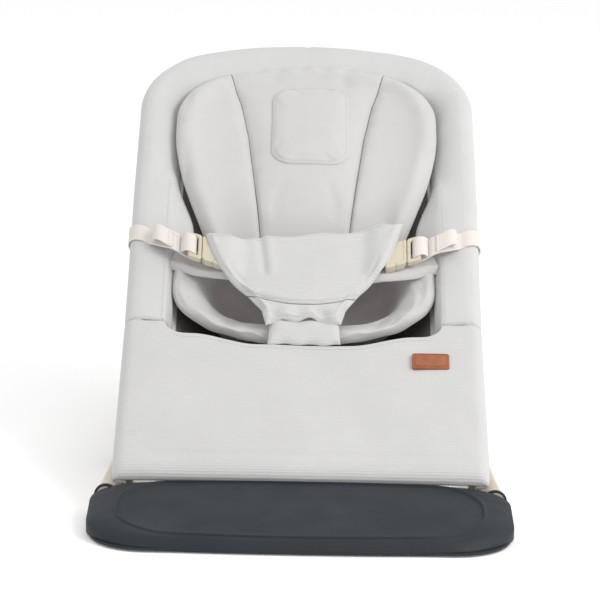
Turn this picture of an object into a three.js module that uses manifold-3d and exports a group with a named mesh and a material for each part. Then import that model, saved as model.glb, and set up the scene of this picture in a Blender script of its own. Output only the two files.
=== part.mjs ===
// A baby bouncer seat: a fabric seat on a tubular hoop that tilts on a low base with a front plate.
// Millimetres, +Z up, front towards -Y, right towards +X. The group is centred over its footprint at the end;
// up to there Y is measured back from the front edge of the plate.

import * as THREE from "three";
import { mergeVertices } from "three/addons/utils/BufferGeometryUtils.js";
import Module from "manifold-3d";

const wasm = await Module();
wasm.setup();

// ---- Driving dimensions -------------------------------------------------------------------------------------

const FIT_GAP = 0.3; // between two pieces that touch
const RUN_GAP = 0.5; // round a piece that turns or slides

// Front plate
const PLATE_WIDTH = 430;
const PLATE_DEPTH = 145;
const PLATE_FRONT_CORNER = 62;
const PLATE_REAR_CORNER = 24;
const PLATE_FRONT_HEIGHT = 17;
const PLATE_REAR_HEIGHT = 38;
const PLATE_WALL = 3;
const PLATE_EDGE_ROUND = 5;
const PLATE_FLOOR_GAP = 1.5; // underside of the shell above the floor
const PANEL_INSET = 24; // recessed panel, in from the edge
const PANEL_RECESS = 1.2;
const PLATE_COVER_THICKNESS = 2.5;
const PAD_LENGTH = 90;
const PAD_WIDTH = 16;
const PAD_HEIGHT = 2.2;
const SCREW_SHANK_RADIUS = 1.5;
const SCREW_HEAD_RADIUS = 3.4;
const SCREW_HEAD_HEIGHT = 1.6;
const BOSS_RADIUS = 4.5;
const SCREW_SPREAD_X = 140;
const SCREW_FRONT_Y = 45;
const SCREW_REAR_Y = 105;

// Base tubes
const BASE_TUBE_RADIUS = 10;
const TUBE_WALL = 1.5;
const TUBE_JOINT_GAP = 1; // between two tubes that meet end to end at a slight angle
const BASE_TUBE_IN_PLATE = 30; // length of each side tube inside the plate
const BASE_FRONT_HALF = 199; // half the distance between the side tubes where they leave the plate
const BASE_REAR_HALF = 176; // and at their rear ends
const BASE_FRONT_Z = 19;
const BASE_REAR_Z = 13.5;
const BASE_SIDE_END_Y = 560;
const BASE_REAR_BEND = 85;
const BASE_REAR_Y = 655;
const COLLAR_WALL = 3; // lip of the plate round each tube
const COLLAR_LENGTH = 26;
const CLAMP_LENGTH = 20;
const CLAMP_WIDTH = 26;
const REAR_FOOT_LENGTH = 42;
const REAR_FOOT_WALL = 3;
const REAR_FOOT_X = 62;

// Recline axle
const AXLE_Y = 166;
const AXLE_Z = 20;
const AXLE_RADIUS = 6;

// Hoop
const HOOP_TUBE_RADIUS = 10;
const HOOP_HALF_WIDTH = 182; // to the tube's centreline
const HOOP_FRONT_Y = 162;
const HOOP_FRONT_Z = 41;
const HOOP_LENGTH = 700; // along the slope, to the centreline of the top tube
const HOOP_CORNER = 92;
const HOOP_CROWN = 420; // radius of the slightly arched top tube
const SLOPE_FRONT = 26.5; // degrees above the floor: front stretch, middle stretch and back stretch
const SLOPE_MIDDLE = 35.5;
const SLOPE_BACK = 29;
const SLOPE_FRONT_LENGTH = 200;
const SLOPE_MIDDLE_LENGTH = 170;
const SLOPE_BEND_RADIUS = 300;
const HEM_BAR_RADIUS = 6;
const LUG_THICKNESS = 12;
const LUG_EYE_WALL = 4.5;

// Cover and sling
const FABRIC = 2.5;
const FABRIC_GAP = 1; // between a tube and the fabric round it
const INSERT_GAP = 8; // between the sling and the insert lying on it
const FRONT_PANEL_END = 190; // where the front panel stops and the opening starts, along the slope
const BORDER_SIDE = 28; // how far the border reaches in from the tube's centreline at the sides
const BORDER_TOP = 38; // and at the top
const BORDER_DROP = 5; // the border's inner edge lies this far lower
const WRAP_END = -100; // degrees: where the cover stops under the tube
const SLING_HALF_WIDTH = 148;
const SLING_TOP_GAP = 52; // from the top tube's centreline to the upper end of the sling
const SLING_END = HOOP_LENGTH - SLING_TOP_GAP;
const BACK_SAG = 14;
const SEAT_SAG = 64;
const SEAT_SAG_AT = 280;
const SEAT_SAG_SPREAD = 85;

// Insert
const BUCKET_START = 205;
const BUCKET_END = 340;
const BUCKET_HALF_WIDTH = 145;
const BUCKET_THICKNESS = 12;
const BACK_PAD_START = 342;
const BACK_PAD_TOP_GAP = 40; // from the top tube's centreline to the upper end of the pad
const BACK_PAD_END = HOOP_LENGTH - BACK_PAD_TOP_GAP;
const BACK_PAD_HALF_WIDTH = 149;
const BACK_PAD_FOOT_HALF_WIDTH = 100;
const BACK_PAD_SHOULDER = 94; // from the pad's upper end down to its widest place
const BACK_PAD_WIDEST = BACK_PAD_END - BACK_PAD_SHOULDER;
const BACK_PAD_THICKNESS = 20;
const HEAD_PANEL_HALF_WIDTH = 42;
const HEAD_PANEL_TOP_GAP = 52; // from the pad's upper end to the head panel
const HEAD_PANEL_LENGTH = 126;
const HEAD_PANEL_START = BACK_PAD_END - HEAD_PANEL_TOP_GAP - HEAD_PANEL_LENGTH;
const HEAD_PANEL_THICKNESS = 5;
const WING_THICKNESS = 6;
const WING_WIDTH = 30;
const WING_LIFT = 12.4; // underside of the wings above the hoop's centreline plane

// Harness
const LAP_LIFT = 18.8;
const LAP_THICKNESS = 4;
const LAP_TOP = 350;
const LAP_TOP_HALF_WIDTH = 103;
const LAP_FOOT = 232;
const LAP_FOOT_HALF_WIDTH = 43;
const CROTCH_FOOT = 200;
const CROTCH_LIFT = 12.8;
const CROTCH_THICKNESS = 4;
const STRAP_TILT = 22; // degrees: each strap rises outwards along the slope
const STRAP_WIDTH = 25;
const STRAP_THICKNESS = 2.3;
const BUCKLE_X = 110;
const BUCKLE_S = 321;
const BUCKLE_WIDTH = 34;
const BUCKLE_THICKNESS = 9;
const SOCKET_LENGTH = 26;
const TONGUE_LENGTH = 17.5;
const PRONG_LENGTH = 12;
const PRONG_WIDTH = 4;
const PRONG_THICKNESS = 3.4;
const TAG_WIDTH = 40;
const TAG_HEIGHT = 25;
const TAG_THICKNESS = 1.6;
const TAG_X = 136;
const TAG_S = 164;

// Stand
const STAND_PIVOT_S = 430;
const STAND_PIVOT_N = -8;
const STAND_LENGTH = 300;
const STAND_FOOT_Z = 15; // height of the foot bar in the modelled position
const STAND_ROD_RADIUS = 4;
const STAND_LEG_X = 158;
const STAND_RATIO = 0.68; // stand turns against the seat by this share of the recline
const RECLINE_DOWN = -24; // degrees from the modelled position, folded
const RECLINE_UP = 10; // and raised
const GRIP_LENGTH = 120;
const GRIP_WALL = 3;
const BUSH_LENGTH = 22;
const BRACKET_PLATE = 5;
const BRACKET_WALL = 4; // material round the slot
const SLOT_CLEARANCE = 1;
const NOTCH_DEPTH = 1.2;
const NOTCH_POSITIONS = [-12, 0, 10]; // degrees of recline

// ---- Solid helpers ------------------------------------------------------------------------------------------

const rad = THREE.MathUtils.degToRad;
const clamp = THREE.MathUtils.clamp;

function toManifold(geometry) {
  const bare = geometry.clone();
  for (const name of Object.keys(bare.attributes)) {
    if (name !== "position") {
      bare.deleteAttribute(name);
    }
  }
  const merged = mergeVertices(bare, 1e-4);
  return new wasm.Manifold(
    new wasm.Mesh({
      numProp: 3,
      vertProperties: merged.attributes.position.array,
      triVerts: new Uint32Array(merged.index.array),
    }),
  );
}

function fromManifold(solid) {
  const mesh = solid.getMesh();
  const geometry = new THREE.BufferGeometry();
  geometry.setAttribute("position", new THREE.BufferAttribute(mesh.vertProperties, 3));
  geometry.setIndex(new THREE.BufferAttribute(mesh.triVerts, 1));
  return geometry.toNonIndexed();
}

function join(...geometries) {
  return fromManifold(geometries.map(toManifold).reduce((sum, next) => sum.add(next)));
}

function cut(geometry, ...tools) {
  return fromManifold(tools.map(toManifold).reduce((rest, tool) => rest.subtract(tool), toManifold(geometry)));
}

// Moves every vertex by the given function, and turns the faces round where that leaves them facing inwards.
function reshape(geometry, place) {
  const loose = geometry.index ? geometry.toNonIndexed() : geometry;
  const position = loose.getAttribute("position").clone();
  const point = new THREE.Vector3();
  for (let i = 0; i < position.count; i++) {
    point.fromBufferAttribute(position, i);
    position.setXYZ(i, ...place(point).toArray());
  }
  const shaped = new THREE.BufferGeometry().setAttribute("position", position);
  if (signedVolume(shaped) < 0) {
    turnRound(position);
  }
  return shaped;
}

function signedVolume(geometry) {
  const position = geometry.getAttribute("position");
  const [a, b, c] = [new THREE.Vector3(), new THREE.Vector3(), new THREE.Vector3()];
  let sum = 0;
  for (let i = 0; i < position.count; i += 3) {
    a.fromBufferAttribute(position, i);
    b.fromBufferAttribute(position, i + 1);
    c.fromBufferAttribute(position, i + 2);
    sum += a.dot(b.cross(c)) / 6;
  }
  return sum;
}

function turnRound(position) {
  const [b, c] = [new THREE.Vector3(), new THREE.Vector3()];
  for (let i = 0; i < position.count; i += 3) {
    b.fromBufferAttribute(position, i + 1);
    c.fromBufferAttribute(position, i + 2);
    position.setXYZ(i + 1, ...c.toArray());
    position.setXYZ(i + 2, ...b.toArray());
  }
}

function mirrored(geometry) {
  return reshape(geometry, (p) => p.setX(-p.x));
}

function moved(geometry, x, y, z) {
  return geometry.clone().translate(x, y, z);
}

// A prism whose length lies along X, drawn in the Y-Z plane.
function prismAlongX(shape, fromX, toX, curveSegments = 10) {
  const flat = new THREE.ExtrudeGeometry(shape, { depth: toX - fromX, bevelEnabled: false, curveSegments });
  return reshape(flat, (p) => p.set(fromX + p.z, p.x, p.y));
}

function rodAlongX(radius, fromX, toX, y, z, sides = 16) {
  const rod = new THREE.CylinderGeometry(radius, radius, toX - fromX, sides).rotateZ(Math.PI / 2);
  return moved(rod, (fromX + toX) / 2, y, z);
}

function rodBetween(from, to, radius, sides = 12) {
  const axis = to.clone().sub(from);
  const turn = new THREE.Quaternion().setFromUnitVectors(new THREE.Vector3(0, 1, 0), axis.clone().normalize());
  const rod = new THREE.CylinderGeometry(radius, radius, axis.length(), sides);
  return moved(rod.applyQuaternion(turn), ...from.clone().lerp(to, 0.5).toArray());
}

function ringShape(outer, inner) {
  const shape = new THREE.Shape().absarc(0, 0, outer, 0, 2 * Math.PI, false);
  if (inner > 0) {
    shape.holes.push(new THREE.Path().absarc(0, 0, inner, 0, 2 * Math.PI, true));
  }
  return shape;
}

// ---- Lie of the hoop ----------------------------------------------------------------------------------------

// The hoop lies in a surface that rises to the back: s runs up the slope from the front bar, x is across, and n
// stands square to the surface. The slope has three straight stretches with a bend between each two.
const SLOPES = [
  [SLOPE_FRONT, SLOPE_FRONT_LENGTH],
  [SLOPE_MIDDLE, SLOPE_MIDDLE_LENGTH],
  [SLOPE_BACK, Infinity],
];

function slopeAt(s) {
  const at = { y: HOOP_FRONT_Y, z: HOOP_FRONT_Z, angle: rad(SLOPES[0][0]) };
  let left = s;
  for (let i = 0; i < SLOPES.length; i++) {
    const straight = Math.min(left, SLOPES[i][1]);
    at.y += straight * Math.cos(at.angle);
    at.z += straight * Math.sin(at.angle);
    left -= straight;
    if (left <= 0 || i === SLOPES.length - 1) {
      break;
    }
    const next = rad(SLOPES[i + 1][0]);
    const turn = Math.sign(next - at.angle);
    const angle = at.angle + turn * Math.min(left / SLOPE_BEND_RADIUS, Math.abs(next - at.angle));
    at.y += turn * SLOPE_BEND_RADIUS * (Math.sin(angle) - Math.sin(at.angle));
    at.z -= turn * SLOPE_BEND_RADIUS * (Math.cos(angle) - Math.cos(at.angle));
    left -= Math.abs(angle - at.angle) * SLOPE_BEND_RADIUS;
    at.angle = angle;
    if (left <= 1e-9) {
      break;
    }
  }
  return at;
}

function seatPoint(x, s, n) {
  const at = slopeAt(s);
  return new THREE.Vector3(x, at.y - n * Math.sin(at.angle), at.z + n * Math.cos(at.angle));
}

// Plan of the hoop in (x, s): straight side, corner, and half the arched top, then the same back down the left.
const CROWN_SINE = (HOOP_HALF_WIDTH - HOOP_CORNER) / (HOOP_CROWN - HOOP_CORNER);
const CROWN_ANGLE = Math.asin(CROWN_SINE);
const CROWN_RISE = HOOP_CROWN * (1 - Math.cos(CROWN_ANGLE));
const SIDE_LENGTH = HOOP_LENGTH - CROWN_RISE - HOOP_CORNER * Math.cos(CROWN_ANGLE);
const CORNER_SWEEP = Math.PI / 2 - CROWN_ANGLE;
const HALF_HOOP = SIDE_LENGTH + HOOP_CORNER * CORNER_SWEEP + HOOP_CROWN * CROWN_ANGLE;

function hoopPlan(q) {
  if (q > HALF_HOOP) {
    const twin = hoopPlan(2 * HALF_HOOP - q);
    return { x: -twin.x, s: twin.s, outX: -twin.outX, outS: twin.outS };
  }
  if (q <= SIDE_LENGTH) {
    return { x: HOOP_HALF_WIDTH, s: q, outX: 1, outS: 0 };
  }
  const inCorner = (q - SIDE_LENGTH) / HOOP_CORNER;
  if (inCorner <= CORNER_SWEEP) {
    const [outX, outS] = [Math.cos(inCorner), Math.sin(inCorner)];
    const x = HOOP_HALF_WIDTH - HOOP_CORNER + HOOP_CORNER * outX;
    return { x, s: SIDE_LENGTH + HOOP_CORNER * outS, outX, outS };
  }
  const angle = CORNER_SWEEP + (q - SIDE_LENGTH - HOOP_CORNER * CORNER_SWEEP) / HOOP_CROWN;
  const [outX, outS] = [Math.cos(angle), Math.sin(angle)];
  return { x: HOOP_CROWN * outX, s: HOOP_LENGTH - HOOP_CROWN + HOOP_CROWN * outS, outX, outS };
}

function steps(from, to, count) {
  return Array.from({ length: count }, (_, i) => THREE.MathUtils.lerp(from, to, i / count));
}

// Places along half the hoop where its pieces have a section, so that a tube and the fabric round it bend alike.
function hoopStations() {
  const bend = (i) => rad(Math.abs(SLOPES[i + 1][0] - SLOPES[i][0])) * SLOPE_BEND_RADIUS;
  const firstBend = SLOPE_FRONT_LENGTH;
  const middle = firstBend + bend(0);
  const secondBend = middle + SLOPE_MIDDLE_LENGTH;
  const back = secondBend + bend(1);
  const cornerEnd = SIDE_LENGTH + HOOP_CORNER * CORNER_SWEEP;
  return [
    ...steps(firstBend, middle, 3),
    ...steps(middle, secondBend, 1),
    ...steps(secondBend, back, 2),
    ...steps(back, SIDE_LENGTH, 1),
    ...steps(SIDE_LENGTH, cornerEnd, 6),
    ...steps(cornerEnd, HALF_HOOP, 2),
  ];
}

// Runs a section along the hoop. The section's x is the distance outwards from the tube's centreline, its y is n.
function alongHoop(shape, from, to, widen = () => 1) {
  const half = hoopStations();
  const all = [...half, HALF_HOOP, ...half.map((q) => 2 * HALF_HOOP - q).reverse()];
  const stops = [from, ...all.filter((q) => q > from + 1 && q < to - 1), to];
  const last = stops.length - 1;
  const straight = new THREE.ExtrudeGeometry(shape, { depth: 1, steps: last, bevelEnabled: false, curveSegments: 5 });
  return reshape(straight, (p) => {
    const q = stops[Math.round(p.z * last)];
    const at = hoopPlan(q);
    const past = Math.min(p.x + HOOP_TUBE_RADIUS, 0);
    const out = p.x + past * (widen(q) - 1);
    return seatPoint(at.x + out * at.outX, at.s + out * at.outS, p.y);
  });
}

// Runs a section drawn in (x, n) up the slope.
function alongSlope(shape, from, to, steps, curveSegments = 6) {
  const straight = new THREE.ExtrudeGeometry(shape, { depth: 1, steps, bevelEnabled: false, curveSegments });
  return reshape(straight, (p) => seatPoint(p.x, from + (to - from) * p.z, p.y));
}

// A soft slab over the slope: place(across, along, up) gives [x, s, n] for -1..1, 0..1 and 0..1.
function slab(acrossSteps, alongSteps, place) {
  const block = new THREE.BoxGeometry(2, 1, 1, acrossSteps, alongSteps, 1);
  return reshape(block, (p) => seatPoint(...place(p.x, p.y + 0.5, p.z + 0.5)));
}

// ---- Front plate --------------------------------------------------------------------------------------------

function plateOutline(inset) {
  const [w, d] = [PLATE_WIDTH / 2 - inset, PLATE_DEPTH - inset];
  const front = Math.max(PLATE_FRONT_CORNER - inset, 1);
  const rear = Math.max(PLATE_REAR_CORNER - inset, 1);
  const shape = new THREE.Shape();
  shape.absarc(w - front, inset + front, front, -Math.PI / 2, 0, false);
  shape.absarc(w - rear, d - rear, rear, 0, Math.PI / 2, false);
  shape.absarc(-w + rear, d - rear, rear, Math.PI / 2, Math.PI, false);
  shape.absarc(-w + front, inset + front, front, Math.PI, 1.5 * Math.PI, false);
  return shape;
}

function plateTop(y) {
  return THREE.MathUtils.lerp(PLATE_FRONT_HEIGHT, PLATE_REAR_HEIGHT, y / PLATE_DEPTH);
}

// The plate's wedge, from a level underside to a surface that lies under the plate's top by the given depth.
function plateWedge(inset, bottom, depth, round) {
  const flat = new THREE.ExtrudeGeometry(plateOutline(inset + round), {
    depth: 1 - (round ? 0.3 : 0),
    bevelEnabled: round > 0,
    bevelSize: round,
    bevelThickness: 0.15,
    bevelSegments: 1,
    curveSegments: 5,
  });
  const start = round ? 0.15 : 0;
  return reshape(flat, (p) => {
    const top = plateTop(p.y) - depth;
    return p.setZ(THREE.MathUtils.lerp(bottom, top, p.z + start));
  });
}

function baseTubeAt(y) {
  const share = (y - PLATE_DEPTH) / (BASE_SIDE_END_Y - PLATE_DEPTH);
  return new THREE.Vector3(
    THREE.MathUtils.lerp(BASE_FRONT_HALF, BASE_REAR_HALF, share),
    y,
    THREE.MathUtils.lerp(BASE_FRONT_Z, BASE_REAR_Z, share),
  );
}

function baseTubeTool(radius, fromY, toY) {
  return rodBetween(baseTubeAt(fromY), baseTubeAt(toY), radius, 16);
}

const TUBE_START_Y = PLATE_DEPTH - BASE_TUBE_IN_PLATE;
const COLLAR_END_Y = PLATE_DEPTH + 2;
const SCREW_PLACES = [
  [-SCREW_SPREAD_X, SCREW_FRONT_Y],
  [SCREW_SPREAD_X, SCREW_FRONT_Y],
  [-SCREW_SPREAD_X, SCREW_REAR_Y],
  [SCREW_SPREAD_X, SCREW_REAR_Y],
];
const COVER_BOTTOM = PLATE_FLOOR_GAP + 0.7;
const COVER_TOP = COVER_BOTTOM + PLATE_COVER_THICKNESS;

// Space that a collar takes, with a gap round it.
function collarRoom() {
  return baseTubeTool(BASE_TUBE_RADIUS + COLLAR_WALL + FIT_GAP, COLLAR_END_Y - COLLAR_LENGTH, COLLAR_END_Y);
}

function uprightRod(radius, x, y, bottom, top, sides = 12) {
  const rod = new THREE.CylinderGeometry(radius, radius, top - bottom, sides).rotateX(Math.PI / 2);
  return moved(rod, x, y, (bottom + top) / 2);
}

function plateShell() {
  const outside = plateWedge(0, PLATE_FLOOR_GAP, 0, PLATE_EDGE_ROUND);
  const hollow = plateWedge(PLATE_WALL, PLATE_FLOOR_GAP - 5, PLATE_WALL, 0);
  const recess = reshape(plateWedge(PANEL_INSET, 0, 0, 0), (p) => {
    const lift = p.z > 1 ? 5 : plateTop(p.y) - PANEL_RECESS;
    return p.setZ(p.z + lift);
  });
  const tubeEntry = baseTubeTool(BASE_TUBE_RADIUS + FIT_GAP, TUBE_START_Y - 2, PLATE_DEPTH + 20);
  const collar = baseTubeTool(BASE_TUBE_RADIUS + COLLAR_WALL, COLLAR_END_Y - COLLAR_LENGTH, COLLAR_END_Y);
  const walls = join(cut(outside, hollow, recess), collar, mirrored(collar));
  const shell = cut(walls, tubeEntry, mirrored(tubeEntry));
  const bosses = SCREW_PLACES.map(([x, y]) =>
    uprightRod(BOSS_RADIUS, x, y, COVER_TOP + FIT_GAP, plateTop(y) - PANEL_RECESS - 1),
  );
  const holes = SCREW_PLACES.map(([x, y]) =>
    uprightRod(SCREW_SHANK_RADIUS + FIT_GAP, x, y, COVER_TOP - 1, plateTop(y) - PLATE_WALL - 2),
  );
  return cut(join(shell, ...bosses), ...holes);
}

function plateCover() {
  const sheet = new THREE.ExtrudeGeometry(plateOutline(PLATE_WALL + RUN_GAP), {
    depth: PLATE_COVER_THICKNESS,
    bevelEnabled: false,
    curveSegments: 5,
  });
  const holes = SCREW_PLACES.flatMap(([x, y]) => [
    uprightRod(SCREW_SHANK_RADIUS + FIT_GAP, x, y, COVER_BOTTOM - 1, COVER_TOP + 1),
    uprightRod(SCREW_HEAD_RADIUS + FIT_GAP, x, y, COVER_BOTTOM - 1, COVER_BOTTOM + SCREW_HEAD_HEIGHT),
  ]);
  const collar = collarRoom();
  return cut(moved(sheet, 0, 0, COVER_BOTTOM), ...holes, collar, mirrored(collar));
}

function coverScrew(x, y) {
  const headTop = COVER_BOTTOM + SCREW_HEAD_HEIGHT - FIT_GAP;
  const tip = plateTop(y) - PLATE_WALL - 4;
  const profile = [
    [0, COVER_BOTTOM],
    [SCREW_HEAD_RADIUS, COVER_BOTTOM],
    [SCREW_HEAD_RADIUS, headTop],
    [SCREW_SHANK_RADIUS, headTop],
    [SCREW_SHANK_RADIUS, tip - 1.5],
    [0, tip],
  ].map(([r, z]) => new THREE.Vector2(r, z));
  return moved(new THREE.LatheGeometry(profile, 10).rotateX(Math.PI / 2), x, y, 0);
}

function rubberPad() {
  const [l, w] = [PAD_LENGTH / 2, PAD_WIDTH / 2];
  const shape = new THREE.Shape();
  shape.absarc(l - w, 0, w, -Math.PI / 2, Math.PI / 2, false);
  shape.absarc(-l + w, 0, w, Math.PI / 2, 1.5 * Math.PI, false);
  const height = COVER_BOTTOM - FIT_GAP;
  return new THREE.ExtrudeGeometry(shape, { depth: height, bevelEnabled: false, curveSegments: 6 });
}

// Saddle block between the plate's cover and the tube end, inside the plate.
function tubeClamp() {
  const seat = baseTubeAt(TUBE_START_Y + CLAMP_LENGTH / 2);
  const bottom = COVER_TOP + FIT_GAP;
  const block = new THREE.BoxGeometry(CLAMP_WIDTH, CLAMP_LENGTH, seat.z - bottom);
  const tool = baseTubeTool(BASE_TUBE_RADIUS + FIT_GAP, TUBE_START_Y - 10, PLATE_DEPTH + 20);
  const inside = plateWedge(PLATE_WALL + FIT_GAP, PLATE_FLOOR_GAP, PLATE_WALL + FIT_GAP, 0);
  const placed = moved(block, seat.x, seat.y, (seat.z + bottom) / 2);
  const trimmed = fromManifold(toManifold(placed).intersect(toManifold(inside)));
  return cut(trimmed, tool, collarRoom());
}

// ---- Base frame ---------------------------------------------------------------------------------------------

function hollowTube(from, to, radius) {
  const outside = rodBetween(from, to, radius, 14);
  const along = to.clone().sub(from).normalize();
  const bore = rodBetween(from.clone().sub(along), to.clone().add(along), radius - TUBE_WALL, 10);
  return cut(outside, bore);
}

function baseSideTube() {
  return hollowTube(baseTubeAt(TUBE_START_Y), baseTubeAt(BASE_SIDE_END_Y), BASE_TUBE_RADIUS);
}

function baseRearTube() {
  const start = baseTubeAt(BASE_SIDE_END_Y + TUBE_JOINT_GAP);
  const z = start.z;
  const [sideX, bendY, bendX] = [start.x, BASE_REAR_Y - BASE_REAR_BEND, start.x - BASE_REAR_BEND];
  const pull = BASE_REAR_BEND * 0.5523; // handle length that makes a cubic follow a quarter circle
  const at = (x, y) => new THREE.Vector3(x, y, z);
  const path = new THREE.CurvePath();
  const rightBend = [at(sideX, bendY), at(sideX, bendY + pull), at(bendX + pull, BASE_REAR_Y), at(bendX, BASE_REAR_Y)];
  const leftBend = rightBend.map((p) => at(-p.x, p.y)).reverse();
  path.add(new THREE.LineCurve3(at(sideX, start.y), rightBend[0]));
  path.add(new THREE.CubicBezierCurve3(...rightBend));
  path.add(new THREE.LineCurve3(rightBend[3], leftBend[0]));
  path.add(new THREE.CubicBezierCurve3(...leftBend));
  path.add(new THREE.LineCurve3(leftBend[3], at(-sideX, start.y)));
  const section = ringShape(BASE_TUBE_RADIUS, BASE_TUBE_RADIUS - TUBE_WALL);
  return new THREE.ExtrudeGeometry(section, { steps: 26, extrudePath: path, curveSegments: 5 });
}

function rearFoot() {
  const outer = BASE_TUBE_RADIUS + REAR_FOOT_WALL;
  const shoulder = rad(-50);
  const shape = new THREE.Shape();
  shape.absarc(0, 0, outer, shoulder, Math.PI - shoulder, false);
  shape.lineTo(-outer * Math.cos(shoulder), -BASE_REAR_Z);
  shape.lineTo(outer * Math.cos(shoulder), -BASE_REAR_Z);
  shape.holes.push(new THREE.Path().absarc(0, 0, BASE_TUBE_RADIUS + FIT_GAP, 0, 2 * Math.PI, true));
  const half = REAR_FOOT_LENGTH / 2;
  return moved(prismAlongX(shape, -half, half, 8), REAR_FOOT_X, BASE_REAR_Y, BASE_REAR_Z);
}

function crossTube() {
  const end = baseTubeAt(AXLE_Y).x;
  const tube = rodAlongX(AXLE_RADIUS, -end, end, AXLE_Y, AXLE_Z);
  const side = baseTubeTool(BASE_TUBE_RADIUS + FIT_GAP, AXLE_Y - 40, AXLE_Y + 40);
  return cut(tube, side, mirrored(side));
}

// ---- Recline linkage ----------------------------------------------------------------------------------------

// The seat turns about the axle. The stand hangs from the hoop and its foot bar runs in the brackets' slots, so
// the slot follows the foot bar's path as the seat goes from folded to raised.
const STAND_PIVOT = seatPoint(STAND_LEG_X, STAND_PIVOT_S, STAND_PIVOT_N);
const PIVOT_REACH = Math.hypot(STAND_PIVOT.y - AXLE_Y, STAND_PIVOT.z - AXLE_Z);
const PIVOT_ANGLE = Math.atan2(STAND_PIVOT.z - AXLE_Z, STAND_PIVOT.y - AXLE_Y);
const LEG_ANGLE = Math.asin((STAND_PIVOT.z - STAND_FOOT_Z) / STAND_LENGTH);

function footBarAt(reclineDegrees) {
  const recline = rad(reclineDegrees);
  const seat = PIVOT_ANGLE + recline;
  const leg = LEG_ANGLE + recline * (1 + STAND_RATIO);
  return {
    y: AXLE_Y + PIVOT_REACH * Math.cos(seat) - STAND_LENGTH * Math.cos(leg),
    z: AXLE_Z + PIVOT_REACH * Math.sin(seat) - STAND_LENGTH * Math.sin(leg),
  };
}

const BRACKET_OUT = HOOP_HALF_WIDTH - HOOP_TUBE_RADIUS - FABRIC - FIT_GAP; // outer face of the slotted plate
const BRACKET_IN = BRACKET_OUT - BRACKET_PLATE;
const ARM_LENGTH = 44;
const ARM_HEIGHT = 20;

// A row of overlapping capsules along the foot bar's path.
function footPath(radius, fromX, toX) {
  const stops = 6;
  const places = [];
  for (let i = 0; i < stops; i++) {
    places.push(footBarAt(THREE.MathUtils.lerp(RECLINE_DOWN, RECLINE_UP, i / (stops - 1))));
  }
  const capsules = places.slice(1).map((b, i) => {
    const a = places[i];
    const across = Math.atan2(b.z - a.z, b.y - a.y);
    const shape = new THREE.Shape();
    shape.absarc(b.y, b.z, radius, across - Math.PI / 2, across + Math.PI / 2, false);
    shape.absarc(a.y, a.z, radius, across + Math.PI / 2, across + 1.5 * Math.PI, false);
    return prismAlongX(shape, fromX, toX, 4);
  });
  return join(...capsules);
}

function reclineBracket() {
  const slotRadius = STAND_ROD_RADIUS + SLOT_CLEARANCE;
  const plate = footPath(slotRadius + BRACKET_WALL, BRACKET_IN, BRACKET_OUT);
  const slot = footPath(slotRadius, BRACKET_IN - 1, BRACKET_OUT + FIT_GAP);
  const notches = NOTCH_POSITIONS.map((degrees) => {
    const foot = footBarAt(degrees);
    return rodAlongX(slotRadius, BRACKET_IN - 1, BRACKET_OUT + FIT_GAP, foot.y, foot.z - NOTCH_DEPTH, 12);
  });
  const middle = (footBarAt(RECLINE_DOWN).y + footBarAt(RECLINE_UP).y) / 2;
  const tube = baseTubeAt(middle);
  const arm = new THREE.BoxGeometry(tube.x - BRACKET_IN, ARM_LENGTH, ARM_HEIGHT);
  const placedArm = moved(arm, (tube.x + BRACKET_IN) / 2, middle, tube.z);
  const [from, to] = [middle - ARM_LENGTH / 2, middle + ARM_LENGTH / 2];
  const sleeve = baseTubeTool(BASE_TUBE_RADIUS + BRACKET_WALL - 1, from, to);
  const bore = baseTubeTool(BASE_TUBE_RADIUS + FIT_GAP, from - 5, to + 5);
  return cut(join(plate, placedArm, sleeve), slot, bore, ...notches);
}

function standLeg() {
  const foot = footBarAt(0);
  const low = new THREE.Vector3(STAND_LEG_X, foot.y, foot.z);
  const along = STAND_PIVOT.clone().sub(low).normalize();
  const start = low.clone().addScaledVector(along, STAND_ROD_RADIUS + FIT_GAP);
  const leg = rodBetween(start, STAND_PIVOT, STAND_ROD_RADIUS, 12);
  const { y, z } = STAND_PIVOT;
  const pin = rodAlongX(STAND_ROD_RADIUS, STAND_LEG_X - STAND_ROD_RADIUS, HOOP_HALF_WIDTH - HOOP_TUBE_RADIUS - RUN_GAP, y, z, 12);
  return join(leg, pin);
}

function footBar() {
  const foot = footBarAt(0);
  return rodAlongX(STAND_ROD_RADIUS, -BRACKET_OUT, BRACKET_OUT, foot.y, foot.z, 12);
}

function standGrip() {
  const foot = footBarAt(0);
  const half = GRIP_LENGTH / 2;
  const sleeve = rodAlongX(STAND_ROD_RADIUS + GRIP_WALL, -half, half, foot.y, foot.z, 14);
  return cut(sleeve, rodAlongX(STAND_ROD_RADIUS + FIT_GAP, -half - 1, half + 1, foot.y, foot.z, 14));
}

// Block riveted to the inner side of the hoop, with the bore that the stand's pin turns in.
function standBush() {
  const block = new THREE.BoxGeometry(1, 1, 1, 1, 4, 1);
  const [inner, outer] = [HOOP_HALF_WIDTH - 18, HOOP_HALF_WIDTH - 5];
  const [low, high] = [STAND_PIVOT_N - 8, STAND_PIVOT_N + 14];
  const saddle = reshape(block, (p) =>
    seatPoint(
      THREE.MathUtils.lerp(inner, outer, p.x + 0.5),
      STAND_PIVOT_S + BUSH_LENGTH * p.y,
      THREE.MathUtils.lerp(low, high, p.z + 0.5),
    ),
  );
  const tube = alongHoop(ringShape(HOOP_TUBE_RADIUS + FIT_GAP, 0), STAND_PIVOT_S - 30, STAND_PIVOT_S + 30);
  const { y, z } = STAND_PIVOT;
  return cut(saddle, tube, rodAlongX(STAND_ROD_RADIUS + RUN_GAP, inner - 1, outer + 1, y, z, 14));
}

// ---- Hoop ---------------------------------------------------------------------------------------------------

const LUG_RADIUS = AXLE_RADIUS + LUG_EYE_WALL;
const LUG_OUT = HOOP_HALF_WIDTH + 3;

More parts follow.
